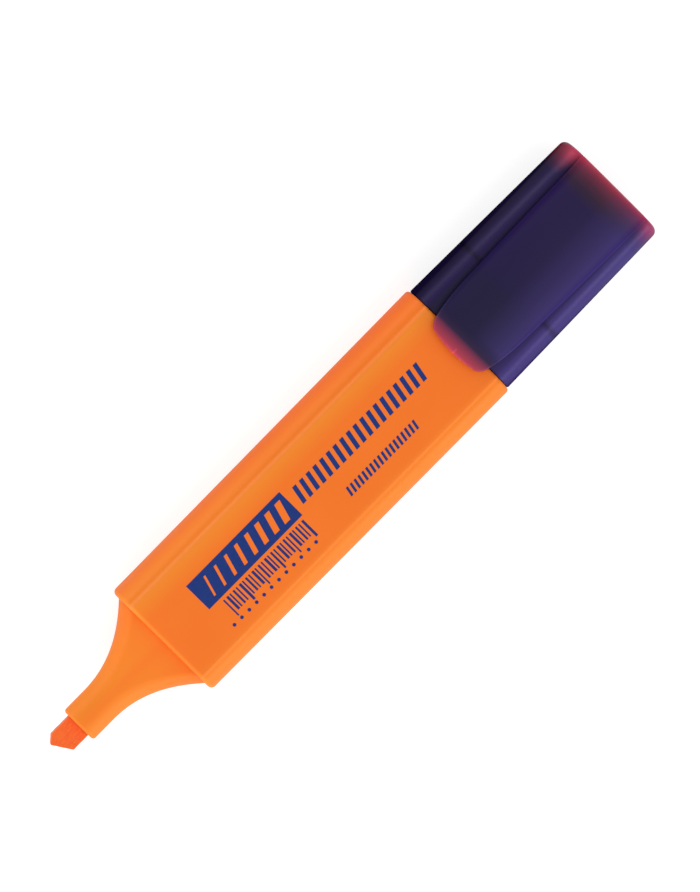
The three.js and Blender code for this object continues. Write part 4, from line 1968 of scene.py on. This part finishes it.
@dataclass
class Studio:
    """Pale floor, soft lights and the camera.

    Attributes:
        centre: Point the camera looks at.
        distance: Distance of the camera.
        frame_height: Height of the view at that distance.
        tilt_deg: How far the camera leans towards the nib and towards +Y.
        roll_deg: Angle of the pen's axis above the horizontal of the view.
        sensor: Width of the camera's sensor.
        lights: Name, centre, width and height, and watts of each soft light.
        backdrop: Brightness of the surroundings where the camera sees them.
        ambient: Brightness of the surroundings where they light the pen.
        floor_half: Half of the floor's side.
        floor_drop: How far the floor lies below the pen.
        floor_grey: Lightness of the floor.
        floor_glow: Floor's own light on the pen, and as the camera sees it.
    """

    centre: Place = (4.85, 0.5, 7.1)
    distance: float = 2500
    frame_height: float = 159.3
    tilt_deg: tuple[float, float] = (1.2, 6.0)
    roll_deg: float = 45.2
    sensor: float = 36
    lights: Sequence[tuple[str, Place, tuple[float, float], float]] = (
        ("near_wall", (0, -650, 175), (1400, 350), 3.5),
        ("far_wall", (0, 650, 175), (1400, 350), 2.4),
        ("nib_wall", (-700, 0, 175), (900, 350), 2.0),
        ("near_ceiling", (0, -300, 750), (1400, 300), 1.0))
    backdrop: float = 1.0
    ambient: float = 0.62
    floor_half: float = 3000
    floor_drop: float = 0.02
    floor_grey: float = 0.5
    floor_glow: tuple[float, float] = (0.15, 0.7)

    def camera(self) -> None:
        """Make the camera above the pen."""
        lean_x, lean_y = (math.radians(a) for a in self.tilt_deg)
        back = Vector((-math.tan(lean_x), math.tan(lean_y), 1)).normalized()
        roll = math.radians(self.roll_deg)
        up = Vector((math.sin(roll), math.cos(roll), 0))
        right = up.cross(back).normalized()
        up = back.cross(right)
        data = bpy.data.cameras.new("camera")
        data.sensor_width = self.sensor
        data.lens = self.sensor * self.distance / self.frame_height
        data.clip_start = 0.01
        data.clip_end = 20
        camera = bpy.data.objects.new("camera", data)
        place = (Vector(self.centre) + back * self.distance) * MM
        turn = Matrix((right, up, back)).transposed().to_4x4()
        camera.matrix_world = Matrix.Translation(place) @ turn
        bpy.context.scene.collection.objects.link(camera)
        bpy.context.scene.camera = camera

    def softbox(self, name: str, place: Place, size: tuple[float, float], watts: float) -> None:
        """Hang a rectangular light that faces the pen.

        Args:
            name: Name of the light.
            place: Its centre.
            size: Its width and height.
            watts: Its power.
        """
        data = bpy.data.lights.new(name, "AREA")
        data.shape = "RECTANGLE"
        data.size, data.size_y = size[0] * MM, size[1] * MM
        data.energy = watts
        light = bpy.data.objects.new(name, data)
        light.location = Vector(place) * MM
        aim = Vector(self.centre) - Vector(place)
        light.rotation_euler = aim.to_track_quat("-Z", "Y").to_euler()
        bpy.context.scene.collection.objects.link(light)

    def world(self) -> None:
        """Make the plain surroundings."""
        world = bpy.data.worlds.new("surroundings")
        bpy.context.scene.world = world
        world.use_nodes = True
        tree = world.node_tree
        background = tree.nodes["Background"]
        path = tree.nodes.new("ShaderNodeLightPath")
        strength = tree.nodes.new("ShaderNodeMapRange")
        strength.inputs["To Min"].default_value = self.ambient
        strength.inputs["To Max"].default_value = self.backdrop
        tree.links.new(path.outputs["Is Camera Ray"], strength.inputs["Value"])
        tree.links.new(strength.outputs["Result"], background.inputs["Strength"])
        background.inputs["Color"].default_value = (1, 1, 1, 1)

    def floor(self) -> None:
        """Lay the pale floor."""
        half = self.floor_half
        mesh = bpy.data.meshes.new("floor")
        corners = [(-half, -half), (half, -half), (half, half), (-half, half)]
        places = [Vector((x, y, -self.floor_drop)) * MM for x, y in corners]
        mesh.from_pydata(places, [], [(0, 1, 2, 3)])
        made = Shader("pale_floor")
        made.set(
            Base_Color=(self.floor_grey,) * 3, Roughness=0.9, Specular_IOR_Level=0.0,
            Emission_Color=(1.0, 1.0, 1.0))
        seen = made.tree.nodes.new("ShaderNodeLightPath").outputs["Is Camera Ray"]
        made.link(made.span(seen, 0, 1, self.floor_glow), made.surface.inputs["Emission Strength"])
        mesh.materials.append(made.material)
        floor = bpy.data.objects.new("floor", mesh)
        bpy.context.scene.collection.objects.link(floor)

    def build(self) -> None:
        """Set up the whole studio."""
        self.camera()
        for name, place, size, watts in self.lights:
            self.softbox(name, place, size, watts)
        self.world()
        self.floor()
        bpy.context.scene.view_settings.view_transform = "Standard"


def main() -> None:
    """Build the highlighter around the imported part."""
    logging.basicConfig(level=logging.INFO, format="%(name)s: %(message)s")
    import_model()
    Studio().build()
    barrel_box = NodeBox.of("barrel")
    plug_box = NodeBox.of("end_plug")
    cap_box = NodeBox.of("cap_shell")
    clip_box = NodeBox.of("pocket_clip")
    axis_z = barrel_box.high.z / 2
    cap = Cap(cap_box, axis_z)
    cap_end_half = (cap.half_width[1], cap.half_height[1])
    finishes = Finishes(
        shoulder_x=barrel_box.low.x, stub_x=plug_box.high.x, clip_tip_x=clip_box.low.x,
        mouth_x=cap_box.low.x, cap_end_x=cap_box.high.x, cap_end_half=cap_end_half, axis_z=axis_z)
    nose = FrontSection(NodeBox.of("front_section"), barrel_box.low.x, axis_z)
    nose.build(finishes)
    Barrel(barrel_box, nose.base_half).build(finishes)
    Nib(NodeBox.of("nib")).build(finishes)
    EndPlug(plug_box, barrel_box.high.x, axis_z).build(finishes)
    Print(barrel_box.low.x, barrel_box.high.z).build(finishes)
    cap.build(finishes)
    InnerSeal(NodeBox.of("inner_seal")).build(finishes)
    cap_top_z = axis_z + cap_end_half[1]
    PocketClip(clip_box, cap_box.low.x, cap_box.high.x, cap_top_z).build(finishes)
    InkStore(NodeBox.of("ink_reservoir"), NodeBox.of("reservoir_film")).build(finishes)


if __name__ == "__main__":
    main()
